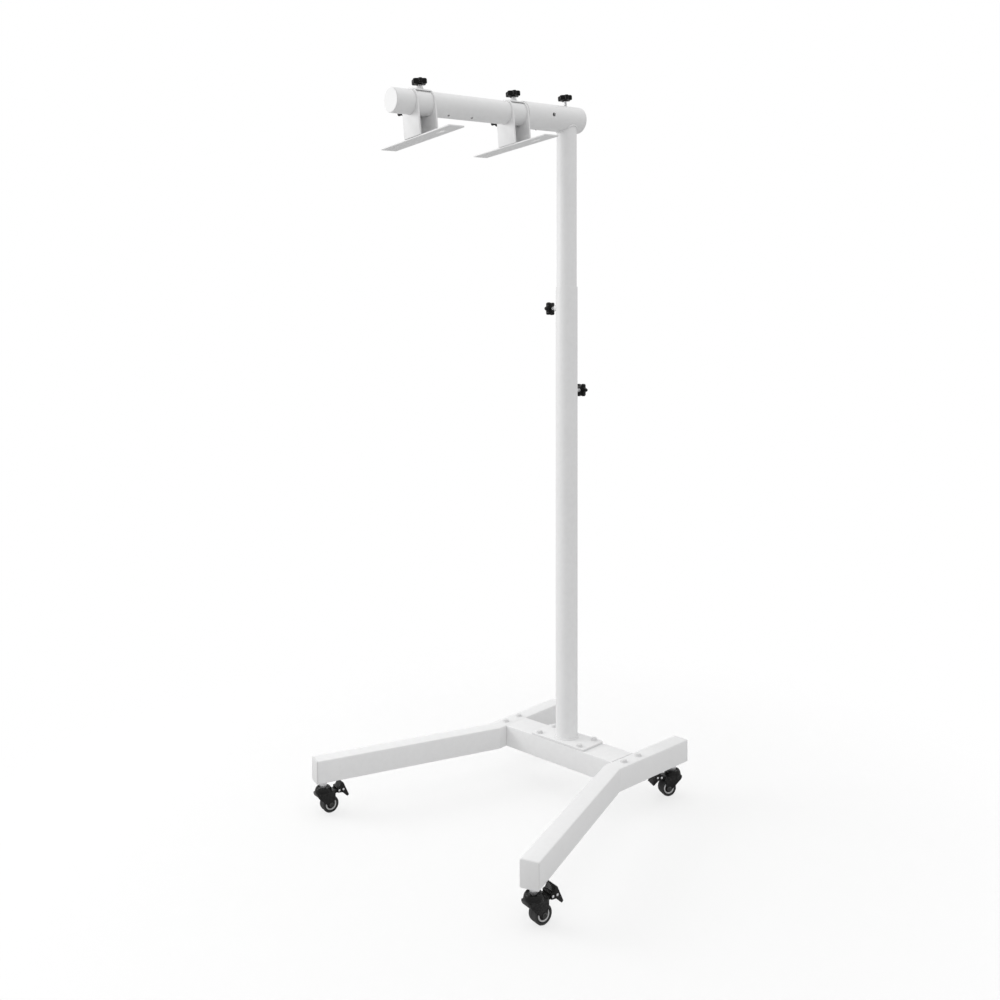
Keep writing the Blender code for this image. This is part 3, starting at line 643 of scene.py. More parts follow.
DARK_STEEL = DrawnSteel("dark_axle_steel", (0.05, 0.05, 0.05), (0.03, 0.03, 0.03), 0.3,
                        metallic=0.9, rough_range=0.08, fine=0.0005, relief=0.00002,
                        drift=0.01, wear_and_highlight_tone=(0.4, 0.4, 0.4), wear_amount=0.5, dust=0.05)
TREAD = Finish("wheel_tread", (0.005, 0.005, 0.005), (0.010, 0.010, 0.0098), 0.42,
               cell=0.0016, fine=0.0005, relief=0.0001, drift=0.012, wear_and_highlight_tone=(0.06, 0.06, 0.058),
               wear_amount=0.5, dust=0.03, specular=0.14)
GREY_RING = DrawnSteel("hub_ring", (0.62, 0.62, 0.62), (0.50, 0.50, 0.505), 0.30, metallic=0.7,
                       fine=0.0006, relief=0.00003, drift=0.01, wear_and_highlight_tone=(0.6, 0.6, 0.6),
                       along=(1, 1, 1), dust=0.1)


# ---- repeated fasteners, made with geometry nodes -----------------------------
def geometry_tree(name: str, sizes: Dict[str, Tuple[str, object]]) -> Tuple[bpy.types.NodeTree, Nodes]:
    """Start a geometry node tree with a Geometry input and named sizes.

    Args:
        name: the tree's name.
        sizes: input name to its socket type and value.

    Returns:
        The tree and its writer.
    """
    tree = bpy.data.node_groups.new(name, "GeometryNodeTree")
    tree.interface.new_socket(name="Geometry", in_out="INPUT", socket_type="NodeSocketGeometry")
    for label, (kind, value) in sizes.items():
        socket = tree.interface.new_socket(name=label, in_out="INPUT", socket_type=kind)
        if value is not None:
            socket.default_value = value
    tree.interface.new_socket(name="Geometry", in_out="OUTPUT", socket_type="NodeSocketGeometry")
    return tree, Nodes(tree)


def run_tree(name: str, tree: bpy.types.NodeTree, points: Sequence[Vector],
             values: Dict[str, object]) -> bpy.types.Object:
    """Run a geometry node tree over points and return its plain mesh.

    Args:
        name: the object's name.
        tree: the tree.
        points: the vertices that it starts from.
        values: input name to value.

    Returns:
        An object with the tree's result.
    """
    mesh = bpy.data.meshes.new(name)
    mesh.from_pydata([tuple(p) for p in points], [], [])
    obj = bpy.data.objects.new(name, mesh)
    bpy.context.collection.objects.link(obj)
    modifier = obj.modifiers.new("make", "NODES")
    modifier.node_group = tree
    sockets = {item.name: item.identifier for item in tree.interface.items_tree
               if item.item_type == "SOCKET" and item.in_out == "INPUT"}
    for key, value in values.items():
        modifier[sockets[key]] = value
    return settle(obj)


def bolt_tree() -> bpy.types.NodeTree:
    """Return the tree that puts a hex bolt head and its washer on every point."""
    tree, nodes = geometry_tree("bolt_heads", {
        "Head Radius": (FLOAT, 0.0069), "Head Height": (FLOAT, 0.0055),
        "Washer Radius": (FLOAT, 0.0086), "Washer Height": (FLOAT, 0.0012),
        "Finish": ("NodeSocketMaterial", None)})
    given = nodes.add("NodeGroupInput")
    out = nodes.add("NodeGroupOutput")
    radius, height = given.outputs["Head Radius"], given.outputs["Head Height"]
    thick = given.outputs["Washer Height"]
    washer = nodes.add("GeometryNodeMeshCylinder", {
        "Vertices": 32, "Radius": given.outputs["Washer Radius"], "Depth": thick})
    washer_lift = nodes.add("ShaderNodeCombineXYZ", {2: nodes.math("MULTIPLY", thick, 0.5)})
    washer_up = nodes.add("GeometryNodeTransform", {
        "Geometry": washer.outputs[0], "Translation": washer_lift.outputs[0]})
    body = nodes.add("GeometryNodeMeshCylinder", {"Vertices": 6, "Radius": radius,
                                                  "Depth": nodes.math("MULTIPLY", height, 0.8)})
    body_lift = nodes.add("ShaderNodeCombineXYZ", {
        2: nodes.math("ADD", thick, nodes.math("MULTIPLY", height, 0.4))})
    body_up = nodes.add("GeometryNodeTransform", {
        "Geometry": body.outputs[0], "Translation": body_lift.outputs[0]})
    crown = nodes.add("GeometryNodeMeshCone", {
        "Vertices": 24, "Radius Bottom": nodes.math("MULTIPLY", radius, 0.9),
        "Radius Top": nodes.math("MULTIPLY", radius, 0.66),
        "Depth": nodes.math("MULTIPLY", height, 0.2)})
    crown_lift = nodes.add("ShaderNodeCombineXYZ", {
        2: nodes.math("ADD", thick, nodes.math("MULTIPLY", height, 0.8))})
    crown_up = nodes.add("GeometryNodeTransform", {
        "Geometry": crown.outputs[0], "Translation": crown_lift.outputs[0]})
    head = nodes.add("GeometryNodeJoinGeometry")
    for part in (washer_up, body_up, crown_up):
        tree.links.new(part.outputs[0], head.inputs[0])
    turn = nodes.add("FunctionNodeRandomValue", {"Seed": 7}, data_type="FLOAT")
    turn.inputs[3].default_value = 1.0
    spin = nodes.add("ShaderNodeCombineXYZ", {2: turn.outputs[1]})
    spread = nodes.add("GeometryNodeInstanceOnPoints", {
        "Points": given.outputs["Geometry"], "Instance": head.outputs[0],
        "Rotation": spin.outputs[0]})
    real = nodes.add("GeometryNodeRealizeInstances", {0: spread.outputs[0]})
    dressed = nodes.add("GeometryNodeSetMaterial", {
        "Geometry": real.outputs[0], "Material": given.outputs["Finish"]})
    tree.links.new(dressed.outputs[0], out.inputs[0])
    return tree


def thread_tree() -> bpy.types.NodeTree:
    """Return the tree that makes a threaded rod: a core with a ridge wound round it."""
    tree, nodes = geometry_tree("thread", {
        "Radius": (FLOAT, 0.0038), "Length": (FLOAT, 0.02), "Pitch": (FLOAT, 0.00125),
        "Finish": ("NodeSocketMaterial", None)})
    given = nodes.add("NodeGroupInput")
    out = nodes.add("NodeGroupOutput")
    radius, length = given.outputs["Radius"], given.outputs["Length"]
    pitch = given.outputs["Pitch"]
    core_radius = nodes.math("SUBTRACT", radius, nodes.math("MULTIPLY", pitch, 0.45))
    core = nodes.add("GeometryNodeMeshCylinder", {
        "Vertices": 24, "Radius": core_radius, "Depth": length})
    lift = nodes.add("ShaderNodeCombineXYZ", {2: nodes.math("MULTIPLY", length, 0.5)})
    core_up = nodes.add("GeometryNodeTransform", {
        "Geometry": core.outputs[0], "Translation": lift.outputs[0]})
    wound = nodes.math("MULTIPLY", length, 0.96)
    helix = nodes.add("GeometryNodeCurveSpiral", {
        "Resolution": 18, "Rotations": nodes.math("DIVIDE", wound, pitch),
        "Start Radius": core_radius, "End Radius": core_radius, "Height": wound})
    ridge = nodes.add("GeometryNodeCurvePrimitiveCircle", {
        "Resolution": 4, "Radius": nodes.math("MULTIPLY", pitch, 0.42)})
    wire = nodes.add("GeometryNodeCurveToMesh", {
        "Curve": helix.outputs[0], "Profile Curve": ridge.outputs[0], "Fill Caps": True})
    both = nodes.add("GeometryNodeJoinGeometry")
    for part in (core_up, wire):
        tree.links.new(part.outputs[0], both.inputs[0])
    real = nodes.add("GeometryNodeRealizeInstances", {0: both.outputs[0]})
    dressed = nodes.add("GeometryNodeSetMaterial", {
        "Geometry": real.outputs[0], "Material": given.outputs["Finish"]})
    tree.links.new(dressed.outputs[0], out.inputs[0])
    return tree


TREES: Dict[str, bpy.types.NodeTree] = {}


def tree(name: str, maker: Callable[[], bpy.types.NodeTree]) -> bpy.types.NodeTree:
    """Return a geometry node tree, made once."""
    if name not in TREES:
        TREES[name] = maker()
    return TREES[name]


# ---- weld beads --------------------------------------------------------------
def weld_bead(name: str, path: Sequence[Vector], radius: float,
              ripple: float = 0.0022) -> bpy.types.Object:
    """Make a rippled bead along a closed path.

    Args:
        name: the object's name.
        path: the bead's middle line, closed on itself.
        radius: the bead's half thickness.
        ripple: the length of one ripple.

    Returns:
        The bead.
    """
    loops = []
    count = len(path)
    run = 0.0
    for i, point in enumerate(path):
        along = (path[(i + 1) % count] - path[i - 1]).normalized()
        run += (point - path[i - 1]).length if i else 0.0
        side = along.cross(Vector((0, 0, 1))).normalized()
        up = side.cross(along)
        swell = 1 + 0.10 * math.sin(AROUND * run / ripple) + 0.12 * noise.noise(point * 300)
        loops.append([point + (side * math.cos(a) + up * math.sin(a)) * radius * swell
                      for a in (AROUND * k / 8 for k in range(8))])
    return skin(name, [list(reversed(loop)) for loop in loops], closed=True)


# ---- base --------------------------------------------------------------------
@dataclass
class Base:
    """The two bent legs, the crossbar between them, their end caps and their bolts."""

    leg_width: float = 0.040
    leg_height: float = 0.0545
    leg_low: float = 0.0775
    front: Vector = field(default_factory=lambda: Vector((0.3438, -0.5266)))
    bend: Vector = field(default_factory=lambda: Vector((0.1900, -0.0635)))
    rear: Vector = field(default_factory=lambda: Vector((0.2026, 0.2082)))
    corner: float = 0.0028
    cap: float = 0.0025
    crossbar_depth: float = 0.080
    flange_length: float = 0.170
    flange_thickness: float = 0.005
    bolt_x: float = 0.065
    bolt_y: float = 0.0295
    leg_bolt_rows: Pair = (-0.020, 0.034)
    post_radius: float = 0.0275
    bead: float = 0.0022

    def __post_init__(self) -> None:
        """Find the post, which the base is laid out round."""
        post, _ = joint("post_swivel")
        self.place = Place(Vector((post.x, post.y, 0)), Vector((1, 0, 0)), Vector((0, 1, 0)),
                           Vector((0, 0, 1)))

    @property
    def top(self) -> float:
        """Return the height of the legs' top faces."""
        return self.leg_low + self.leg_height

    def direction(self, end: Vector) -> Vector:
        """Return the way from the bend to an end."""
        return (end - self.bend).normalized()

    def centre_x(self, y: float) -> float:
        """Return the rear run's centre line at a Y."""
        way = self.direction(self.rear)
        return self.bend.x + (y - self.bend.y) * way.x / way.y

    def section(self, centre: Vector, across: Vector, inset: float, side: Side) -> Loop:
        """Return the leg's rounded section at a point of its centre line.

        Args:
            centre: the section's middle, for the right leg.
            across: the section's width direction.
            inset: how far the outline is drawn in.
            side: which leg it is.

        Returns:
            The section's loop, turned for the leg's side.
        """
        outline = rounded_box(self.leg_width - 2 * inset, self.leg_height - 2 * inset,
                              max(self.corner - inset * 0.5, 0.0008))
        middle = self.leg_low + self.leg_height / 2
        loop = []
        for u, v in outline:
            point = centre + across * u
            loop.append(Vector((point.x * side.value, point.y, middle + v)))
        return list(reversed(loop)) if side is Side.LEFT else loop

    def leg(self, side: Side) -> None:
        """Make one leg and the caps in its two ends."""
        name = side.name.lower()
        forward, backward = self.direction(self.front), self.direction(self.rear)
        across_front = Vector((forward.y, -forward.x))
        across_rear = Vector((-backward.y, backward.x))
        middle = (across_front + across_rear).normalized()
        middle /= middle.dot(across_front)
        reach = self.cap + GAP
        stations = [(self.front - forward * reach, across_front), (self.bend, middle),
                    (self.rear - backward * reach, across_rear)]
        loops = [self.section(centre, across, 0.0, side) for centre, across in stations]
        add_piece(skin(f"leg_{name}_tube", loops), self.place, "base", WHITE_COAT,
                  [f"leg_{name}"], smooth=14)
        for end, way, label in ((self.front, forward, "front"), (self.rear, backward, "rear")):
            across = Vector((-way.y, way.x))
            steps = ((-self.cap, 0.0004), (-self.cap + 0.0003, 0.0), (-0.0009, 0.0),
                     (-0.0003, 0.0004), (0.0, 0.0012))
            cap = skin(f"leg_{name}_{label}_plug",
                       [self.section(end + way * back, across, inset, side)
                        for back, inset in steps])
            add_piece(cap, self.place, "base", PLUG_PLASTIC,
                      [f"leg_{name}_{label}_cap"], smooth=50)

    def crossbar(self) -> None:
        """Make the bar between the legs, its ends cut to their slant."""
        half = self.leg_width / 2 / self.direction(self.rear).y
        middle = self.leg_low + self.leg_height / 2
        outline = rounded_box(self.crossbar_depth, self.leg_height, self.corner)
        loops = []
        for sign in (-1, 1):
            loops.append([Vector((sign * (self.centre_x(y) - half - GAP), y, middle + z))
                          for y, z in outline])
        add_piece(skin("crossbar_tube", loops), self.place, "base", WHITE_COAT,
                  ["crossbar"], smooth=14)

    def flange(self) -> None:
        """Make the post's foot plate and the weld round the post."""
        outline = rounded_box(self.flange_length, self.crossbar_depth, 0.004)
        plate = prism("post_foot_plate", outline, self.top + GAP,
                      self.top + GAP + self.flange_thickness)
        soften(plate, 0.0008, 3)
        add_piece(plate, self.place, "base", WHITE_COAT, ["flange_plate"])
        height = self.top + self.flange_thickness + 2 * GAP
        path = ring(self.post_radius + self.bead * 0.35, height + self.bead * 0.35, 288)
        add_piece(weld_bead("post_foot_weld", path, self.bead), self.place, "base", WHITE_COAT,
                  smooth=80)

    def bolts(self) -> None:
        """Put a bolt head on each hole of the flange and the legs."""
        seats = {"flange": [Vector((sx * self.bolt_x, sy * self.bolt_y,
                                    self.top + GAP + self.flange_thickness))
                            for sx in (-1, 1) for sy in (-1, 1)],
                 "leg": [Vector((side.value * self.centre_x(y), y, self.top))
                         for side in Side for y in self.leg_bolt_rows]}
        nodes = {"flange": [f"flange_bolt_{e}_{s}" for e in ("front", "rear")
                            for s in ("left", "right")],
                 "leg": [f"leg_bolt_{s}_{e}" for s in ("left", "right")
                         for e in ("front", "rear")]}
        for label, points in seats.items():
            heads = run_tree(f"{label}_bolt_heads", tree("bolt", bolt_tree), points,
                             {"Finish": PAINTED_BOLT.material()})
            add_piece(heads, self.place, "base", PAINTED_BOLT, nodes[label],
                      smooth=30)

    def build(self) -> None:
        """Make the whole base."""
        for side in Side:
            self.leg(side)
        self.crossbar()
        self.flange()
        self.bolts()


# ---- star knobs --------------------------------------------------------------
@dataclass
class Knob:
    """A six-lobed star knob on a threaded stud; the welded nut that it runs in is made beside it by
    nut_boss.
    """

    node: str
    reach: float
    stud_from: float
    radius: float = 0.018
    scallop: float = 0.0026
    lobes: int = 6
    thickness: float = 0.012
    hub_radius: float = 0.007
    hub_height: float = 0.0015
    stud_radius: float = 0.0038

    def place(self) -> Place:
        """Return the knob's axes, with Z away from the tube that it locks."""
        point, axis = joint(f"{self.node}_turn")
        hint = Vector((0, 0, 1)) if abs(axis.z) < 0.5 else Vector((1, 0, 0))
        return Place.facing(point, axis, hint)

    def outline(self, scale: float, depth: float, z: float) -> Loop:
        """Return the star at one height.

        Args:
            scale: the outline's size beside the full one.
            depth: how much of the scallops' depth is left.
            z: the height.

        Returns:
            The loop.
        """
        sides = self.lobes * 16
        loop = []
        for i in range(sides):
            angle = AROUND * i / sides
            wave = math.cos(self.lobes * angle)
            bulge = math.copysign(abs(wave) ** 0.8, wave)
            radius = (self.radius - self.scallop + self.scallop * bulge * depth) * scale
            loop.append(Vector((radius * math.sin(angle), -radius * math.cos(angle), z)))
        return loop

    def star(self) -> bpy.types.Object:
        """Return the moulded star with its hub below and its dished top."""
        sides = self.lobes * 16
        low = self.reach - self.thickness / 2
        high = low + self.thickness
        hub = low - self.hub_height
        loops = [ring(self.stud_radius + 0.0002, hub, sides),
                 ring(self.hub_radius - 0.0005, hub, sides),
                 ring(self.hub_radius, hub + 0.0005, sides),
                 ring(self.hub_radius, low - 0.0004, sides),
                 ring(self.hub_radius + 0.0006, low, sides),
                 self.outline(0.90, 0.9, low), self.outline(0.96, 0.95, low + 0.0004),
                 self.outline(0.99, 1.0, low + 0.0013), self.outline(1.0, 1.0, low + 0.003),
                 self.outline(1.0, 1.0, high - 0.0036), self.outline(0.985, 1.0, high - 0.0018),
                 self.outline(0.94, 0.95, high - 0.0006), self.outline(0.87, 0.9, high - 0.0001),
                 self.outline(0.78, 0.6, high), ring(0.0086, high, sides),
                 ring(0.0080, high - 0.0007, sides), ring(0.0062, high - 0.0008, sides),
                 ring(0.0058, high - 0.0002, sides), ring(0.0030, high, sides)]
        return skin(f"{self.node}_star", loops)

    def build(self) -> None:
        """Make the knob and its stud."""
        place = self.place()
        body = f"{self.node}_body"
        add_piece(self.star(), place, body, BLACK_PLASTIC, [self.node])
        start = self.stud_from
        length = self.reach - self.thickness / 2 - self.hub_height + 0.001 - start
        stud = run_tree(f"{self.node}_stud", tree("thread", thread_tree), [],
                        {"Radius": self.stud_radius, "Length": length,
                         "Finish": ZINC.material()})
        add_piece(stud, place.moved(0, 0, start), body, ZINC)


def nut_boss(name: str, place: Place, surface: float, height: float,
             radius: float = 0.0075, bore: float = 0.0041) -> bpy.types.Object:
    """Return a welded nut with a rounded rim and a hole, in the frame's axes.

    Args:
        name: the object's name.
        place: axes whose Z runs out along the nut.
        surface: the tube's surface from the place's origin.
        height: how far the nut stands out of it.
        radius: the nut's radius.
        bore: the hole's radius.

    Returns:
        The nut with the foot of its weld.
    """
    top = surface + height
    foot = surface - 0.0011
    profile = [(bore, foot), (radius + 0.0016, foot), (radius + 0.0014, surface - 0.0002),
               (radius + 0.0005, surface + 0.0007), (radius, surface + 0.0016),
               (radius, top - 0.0007), (radius - 0.0007, top), (bore + 0.0004, top),
               (bore, top - 0.0004)]
    nut = turned(name, profile, SMALL_SIDES, closed=True)
    nut.data.transform(place.matrix())
    return nut


# ---- post --------------------------------------------------------------------
@dataclass
class Post:
    """The fixed outer post, the sliding inner post and what locks them."""

    outer_radius: float = 0.0275
    outer_wall: float = 0.0015
    inner_radius: float = 0.0254
    inner_wall: float = 0.0015
    boss_height: float = 0.010
    upper_reach: float = 0.0545
    lower_reach: float = 0.059
    sleeve_radius: float = 0.0323
    bead: float = 0.0020

    def outer(self) -> None:
        """Make the outer post with its turned-in rim and its two nuts."""
        low, high = (corner.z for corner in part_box("outer_post"))
        inside = self.outer_radius - self.outer_wall
        profile = [(self.outer_radius, low), (self.outer_radius, high - 0.0005),
                   (self.outer_radius - 0.0005, high), (inside + 0.0003, high),
                   (inside, high - 0.0003), (inside, low)]
        post, _ = joint("post_swivel")
        place = Place.facing(Vector((post.x, post.y, 0)), Vector((0, 0, 1)), Vector((1, 0, 0)))
        add_piece(turned("outer_post_tube", profile, closed=True), place, "base", WHITE_COAT,
                  ["outer_post"])
        for node, reach in (("post_knob_upper", self.upper_reach),
                            ("post_knob_lower", self.lower_reach)):
            knob = Knob(node, reach, self.inner_radius + GAP)
            nut = nut_boss(f"{node}_nut", knob.place(), self.outer_radius, self.boss_height)
            add_piece(nut, None, "base", WHITE_COAT)
            knob.build()

    def inner(self, arm: Place) -> None:
        """Make the inner post, coped to the sleeve, and the weld between them."""
        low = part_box("inner_post")[0].z
        top = arm.origin.z
        inside = self.inner_radius - self.inner_wall
        profile = [(self.inner_radius - 0.0004, low), (self.inner_radius, low + 0.0004),
                   (self.inner_radius, top), (inside, top), (inside, low)]
        tube = turned("inner_post_tube", profile, closed=True)
        post, _ = joint("post_swivel")
        tube.data.transform(Matrix.Translation((post.x, post.y, 0)))
        cutter = cylinder("cope", self.sleeve_radius + GAP, arm.at(0, -0.1, 0),
                          arm.at(0, 0.1, 0), TUBE_SIDES)
        combine(tube, "DIFFERENCE", [cutter])
        add_piece(tube, None, "upper_post", WHITE_COAT, ["inner_post"])
        path = []
        reach = self.inner_radius + self.bead * 0.3
        for i in range(240):
            angle = AROUND * i / 240
            out = Vector((math.cos(angle), math.sin(angle), 0)) * reach
            across = out.dot(arm.x)
            drop = math.sqrt((self.sleeve_radius + self.bead * 0.2) ** 2 - across ** 2)
            path.append(Vector((post.x + out.x, post.y + out.y,
                                top - (drop + out.dot(arm.z)) / arm.z.z)))
        add_piece(weld_bead("sleeve_weld", path, self.bead), None, "upper_post", WHITE_COAT,
                  smooth=80)
        foot_low, foot_high = (corner.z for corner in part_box("inner_post_foot"))
        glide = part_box("inner_post_foot")[1].x - post.x
        plug = turned("inner_post_glide", [
            (glide - 0.001, foot_low), (glide, foot_low + 0.001), (glide, foot_low + 0.006),
            (inside - GAP, foot_low + 0.006), (inside - GAP, foot_high - 0.001),
            (inside - 0.0015, foot_high)])
        add_piece(plug, Place.facing(Vector((post.x, post.y, 0)), Vector((0, 0, 1)),
                                     Vector((1, 0, 0))),
                  "post_foot", WHITE_PLASTIC, ["inner_post_foot"])

    def build(self, arm: Place) -> None:
        """Make the whole post."""
        self.outer()
        self.inner(arm)


# ---- sleeve and arm ----------------------------------------------------------
@dataclass
class Arm:
    """The sleeve on the post, the arm tube in it, and their caps and knobs."""

    arm_radius: float = 0.0275
    arm_wall: float = 0.002
    front: float = 0.530
    rear: float = -0.018
    sleeve_radius: float = 0.0323
    sleeve_front: float = 0.1525
    sleeve_rear: float = -0.037
    running_gap: float = 0.0005
    slot: Pair = (-0.012, 0.080)
    slot_width: float = 0.0088
    side_lock: float = 0.054
    side_hole: float = 0.072
    side_hole_radius: float = 0.005
    top_lock: float = 0.001
    holes: Pair = (0.3825, 0.3152)
    hole_turn: float = math.radians(65)
    hole_radius: float = 0.003
    dome: float = 0.0045
    boss_height: float = 0.010
    side_reach: float = 0.061
    top_reach: float = 0.0536

    def lengthwise(self, arm: Place) -> Place:
        """Return axes whose Z runs forward along the arm."""
        return Place(arm.origin, arm.x, arm.z, -arm.y)

    def sleeve(self, arm: Place) -> None:
        """Make the sleeve with its slot and holes, and the cap in its rear end."""
        inside = self.arm_radius + self.running_gap
        out = self.sleeve_radius
        front, rear = self.sleeve_front, self.sleeve_rear
        profile = [(out - 0.0005, rear), (out, rear + 0.0005), (out, front - 0.0008),
                   (out - 0.0008, front), (inside + 0.0004, front), (inside, front - 0.0004),
                   (inside, rear)]
        tube = turned("sleeve_tube", profile, closed=True)
        tube.data.transform(self.lengthwise(arm).matrix())
        half = self.slot_width / 2
        slot_rear, slot_front = self.slot[0] + half, self.slot[1] - half
        outline = rounded_box(self.slot_width, slot_front - slot_rear + 2 * half, half - 1e-5, 10)
        middle = -(slot_front + slot_rear) / 2
        slot = prism("slot", [(x, y + middle) for x, y in outline], 0.012, 0.05)
        slot.data.transform(arm.matrix())
        hole = cylinder("hole", self.side_hole_radius, arm.at(0.01, -self.side_hole, 0),
                        arm.at(0.05, -self.side_hole, 0))
        stud_hole = cylinder("stud_hole", 0.0041, arm.at(-0.05, -self.side_lock, 0),
                             arm.at(-0.01, -self.side_lock, 0))
        combine(tube, "DIFFERENCE", [slot, hole, stud_hole])
        add_piece(tube, None, "upper_post", WHITE_COAT, ["arm_sleeve"])
        knob = Knob("sleeve_knob_side", self.side_reach, self.arm_radius + GAP)
        nut = nut_boss("sleeve_nut", knob.place(), out, self.boss_height)
        add_piece(nut, None, "upper_post", WHITE_COAT)
        knob.build()
        start = -self.sleeve_rear + GAP
        plug = inside - GAP
        cap = turned("sleeve_end_cap", [
            (plug - 0.001, start - 0.010), (plug, start - 0.009), (plug, start),
            (out - 0.0006, start), (out, start + 0.0006), (out - 0.0002, start + 0.0014),
            (out * 0.965, start + 0.0026), (out * 0.90, start + 0.0036),
            (out * 0.78, start + 0.0042), (out * 0.5, start + self.dome - 0.0001),
            (0.001, start + self.dome)])
        back = Place(arm.origin, -arm.x, arm.z, arm.y)
        add_piece(cap, back, "upper_post", WHITE_PLASTIC, ["sleeve_rear_cap"])

    def tube(self, arm: Place) -> None:
        """Make the arm tube with its drilled holes, its front cap and its top knob."""
        inside = self.arm_radius - self.arm_wall
        face = self.front - 0.0012
        profile = [(self.arm_radius, self.rear), (self.arm_radius, face - 0.0009),
                   (self.arm_radius - 0.0009, face), (inside + 0.0002, face),
                   (inside, face - 0.0002), (inside, self.rear)]
        tube = turned("arm_round_tube", profile, closed=True)
        tube.data.transform(self.lengthwise(arm).matrix())
        tools = []
        for i, ahead in enumerate(self.holes):
            x, z = math.cos(self.hole_turn), -math.sin(self.hole_turn)
            tools.append(cylinder(f"drill_{i}", self.hole_radius, arm.at(x * 0.02, -ahead, z * 0.02),
                                  arm.at(x * 0.04, -ahead, z * 0.04)))
        tools.append(cylinder("drill_top", 0.0041, arm.at(0, -self.top_lock, 0.015),
                              arm.at(0, -self.top_lock, 0.04)))
        tools.append(cylinder("drill_side", self.side_hole_radius + 0.0008,
                              arm.at(0.015, -self.side_hole, 0), arm.at(0.04, -self.side_hole, 0)))
        combine(tube, "DIFFERENCE", tools)
        add_piece(tube, None, "arm", WHITE_COAT, ["arm_tube"])
        rim = self.arm_radius - 0.0013
        cap = turned("arm_end_cap", [
            (inside - GAP - 0.001, face - 0.013), (inside - GAP, face - 0.012),
            (inside - GAP, face + 0.0001), (rim, face + 0.0001), (rim, face + 0.0007),
            (rim - 0.0005, face + 0.0012), (rim * 0.5, face + 0.0012), (0.001, face + 0.0012)])
        add_piece(cap, self.lengthwise(arm), "arm", WHITE_PLASTIC,
                  ["arm_front_cap"])
        Knob("arm_knob_top", self.top_reach, inside - 0.004).build()

    def build(self, arm: Place) -> None:
        """Make the sleeve and the arm."""
        self.sleeve(arm)
        self.tube(arm)


# ---- clamp brackets ----------------------------------------------------------
@dataclass
class Bracket:
    """A bent channel that rides on the arm, with its mounting bar and two knobs."""

    end: End
    half_width: float = 0.031
    ahead: float = 0.024
    behind: float = 0.0275
    plate: float = 0.004
    bore: float = 0.0277
    strap_low: float = 0.0236
    top_boss: float = 0.006
    side_boss: float = 0.010
    top_reach: float = 0.0475
    side_reach: float = 0.064
    knob_back: float = 0.007
    bar_length: float = 0.268
    bar_width: float = 0.043
    bar_thickness: float = 0.003
    bar_underside: float = 0.0802
    hole_x: float = -0.098
    hole_radius: float = 0.004
    slot: Pair = (0.062, 0.088)

    @property
    def name(self) -> str:
        """Return the bracket's end as a word."""
        return self.end.name.lower()

    def place(self, arm: Place) -> Place:
        """Return the arm's axes at the bracket's middle."""
        point, _ = joint(f"clamp_knob_side_{self.name}_turn")
        return Place(point, arm.x, arm.y, arm.z)

    def outline(self) -> List[Pair]:
        """Return the clamp's end view: straight sides and a round top."""
        low = -self.bar_underside + self.bar_thickness + GAP
        arc = [(self.half_width * math.cos(a), self.half_width * math.sin(a))
               for a in (math.pi * i / 48 for i in range(49))]
        return [(-self.half_width, low), (self.half_width, low)] + arc

    def clamp(self, place: Place) -> None:
        """Make the channel: two bored plates, a web on the left and a roof strap."""
        loops = [[Vector((x, y, z)) for x, z in self.outline()]
                 for y in (self.behind, -self.ahead)]
        channel = skin(f"clamp_{self.name}_channel", loops)
        room = self.ahead + self.behind - 2 * self.plate
        middle_y = (self.behind - self.ahead) / 2
        web = -self.half_width + self.plate - 0.0005
        low = -self.bar_underside - 0.02
        middle_x = (web + 0.05) / 2
        pocket = prism("pocket", [(x + middle_x, y + middle_y) for x, y in
                                  rounded_box(0.05 - web, room, 0.0035, 3)],
                       low, self.strap_low)
        bore = cylinder("bore", self.bore, Vector((0, -0.05, 0)), Vector((0, 0.05, 0)), TUBE_SIDES)
        drills = [cylinder("top_drill", 0.0041, Vector((0, self.knob_back, 0.01)),
                           Vector((0, self.knob_back, 0.05))),
                  cylinder("side_drill", 0.0041, Vector((-0.05, 0, 0)), Vector((-0.01, 0, 0)))]
        combine(channel, "DIFFERENCE", [pocket] + drills)
        soften(channel, 0.0006, 2, 50)
        combine(channel, "DIFFERENCE", [bore])
        body = f"bracket_{self.name}"
        add_piece(channel, place, body, WHITE_COAT, [f"clamp_{self.name}"])
        for label, reach, boss in (("top", self.top_reach, self.top_boss),
                                   ("side", self.side_reach, self.side_boss)):
            knob = Knob(f"clamp_knob_{label}_{self.name}", reach, 0.0275 + GAP)
            nut = nut_boss(f"clamp_{self.name}_{label}_nut", knob.place(), self.half_width, boss)
            add_piece(nut, None, body, WHITE_COAT)
            knob.build()

    def bar(self, place: Place) -> None:
        """Make the flat bar with its round hole and its slot."""
        low = -self.bar_underside
        plate = prism(f"bar_{self.name}_flat", rounded_box(self.bar_length, self.bar_width, 0.002),
                      low, low + self.bar_thickness)
        below, above = low - 0.01, low + 0.02
        hole = cylinder("hole", self.hole_radius, Vector((self.hole_x, 0, below)),
                        Vector((self.hole_x, 0, above)))
        middle = sum(self.slot) / 2
        length = self.slot[1] - self.slot[0] + 2 * self.hole_radius
        slot = prism("slot", [(x + middle, y) for x, y in
                              rounded_box(length, 2 * self.hole_radius,
                                          self.hole_radius - 1e-5, 10)], below, above)
        combine(plate, "DIFFERENCE", [hole, slot])
        soften(plate, 0.0005, 2, 50)
        add_piece(plate, place, f"bracket_{self.name}", WHITE_COAT,
                  [f"mounting_bar_{self.name}"])

    def build(self, arm: Place) -> None:
        """Make the whole bracket."""
        place = self.place(arm)
        self.clamp(place)
        self.bar(place)


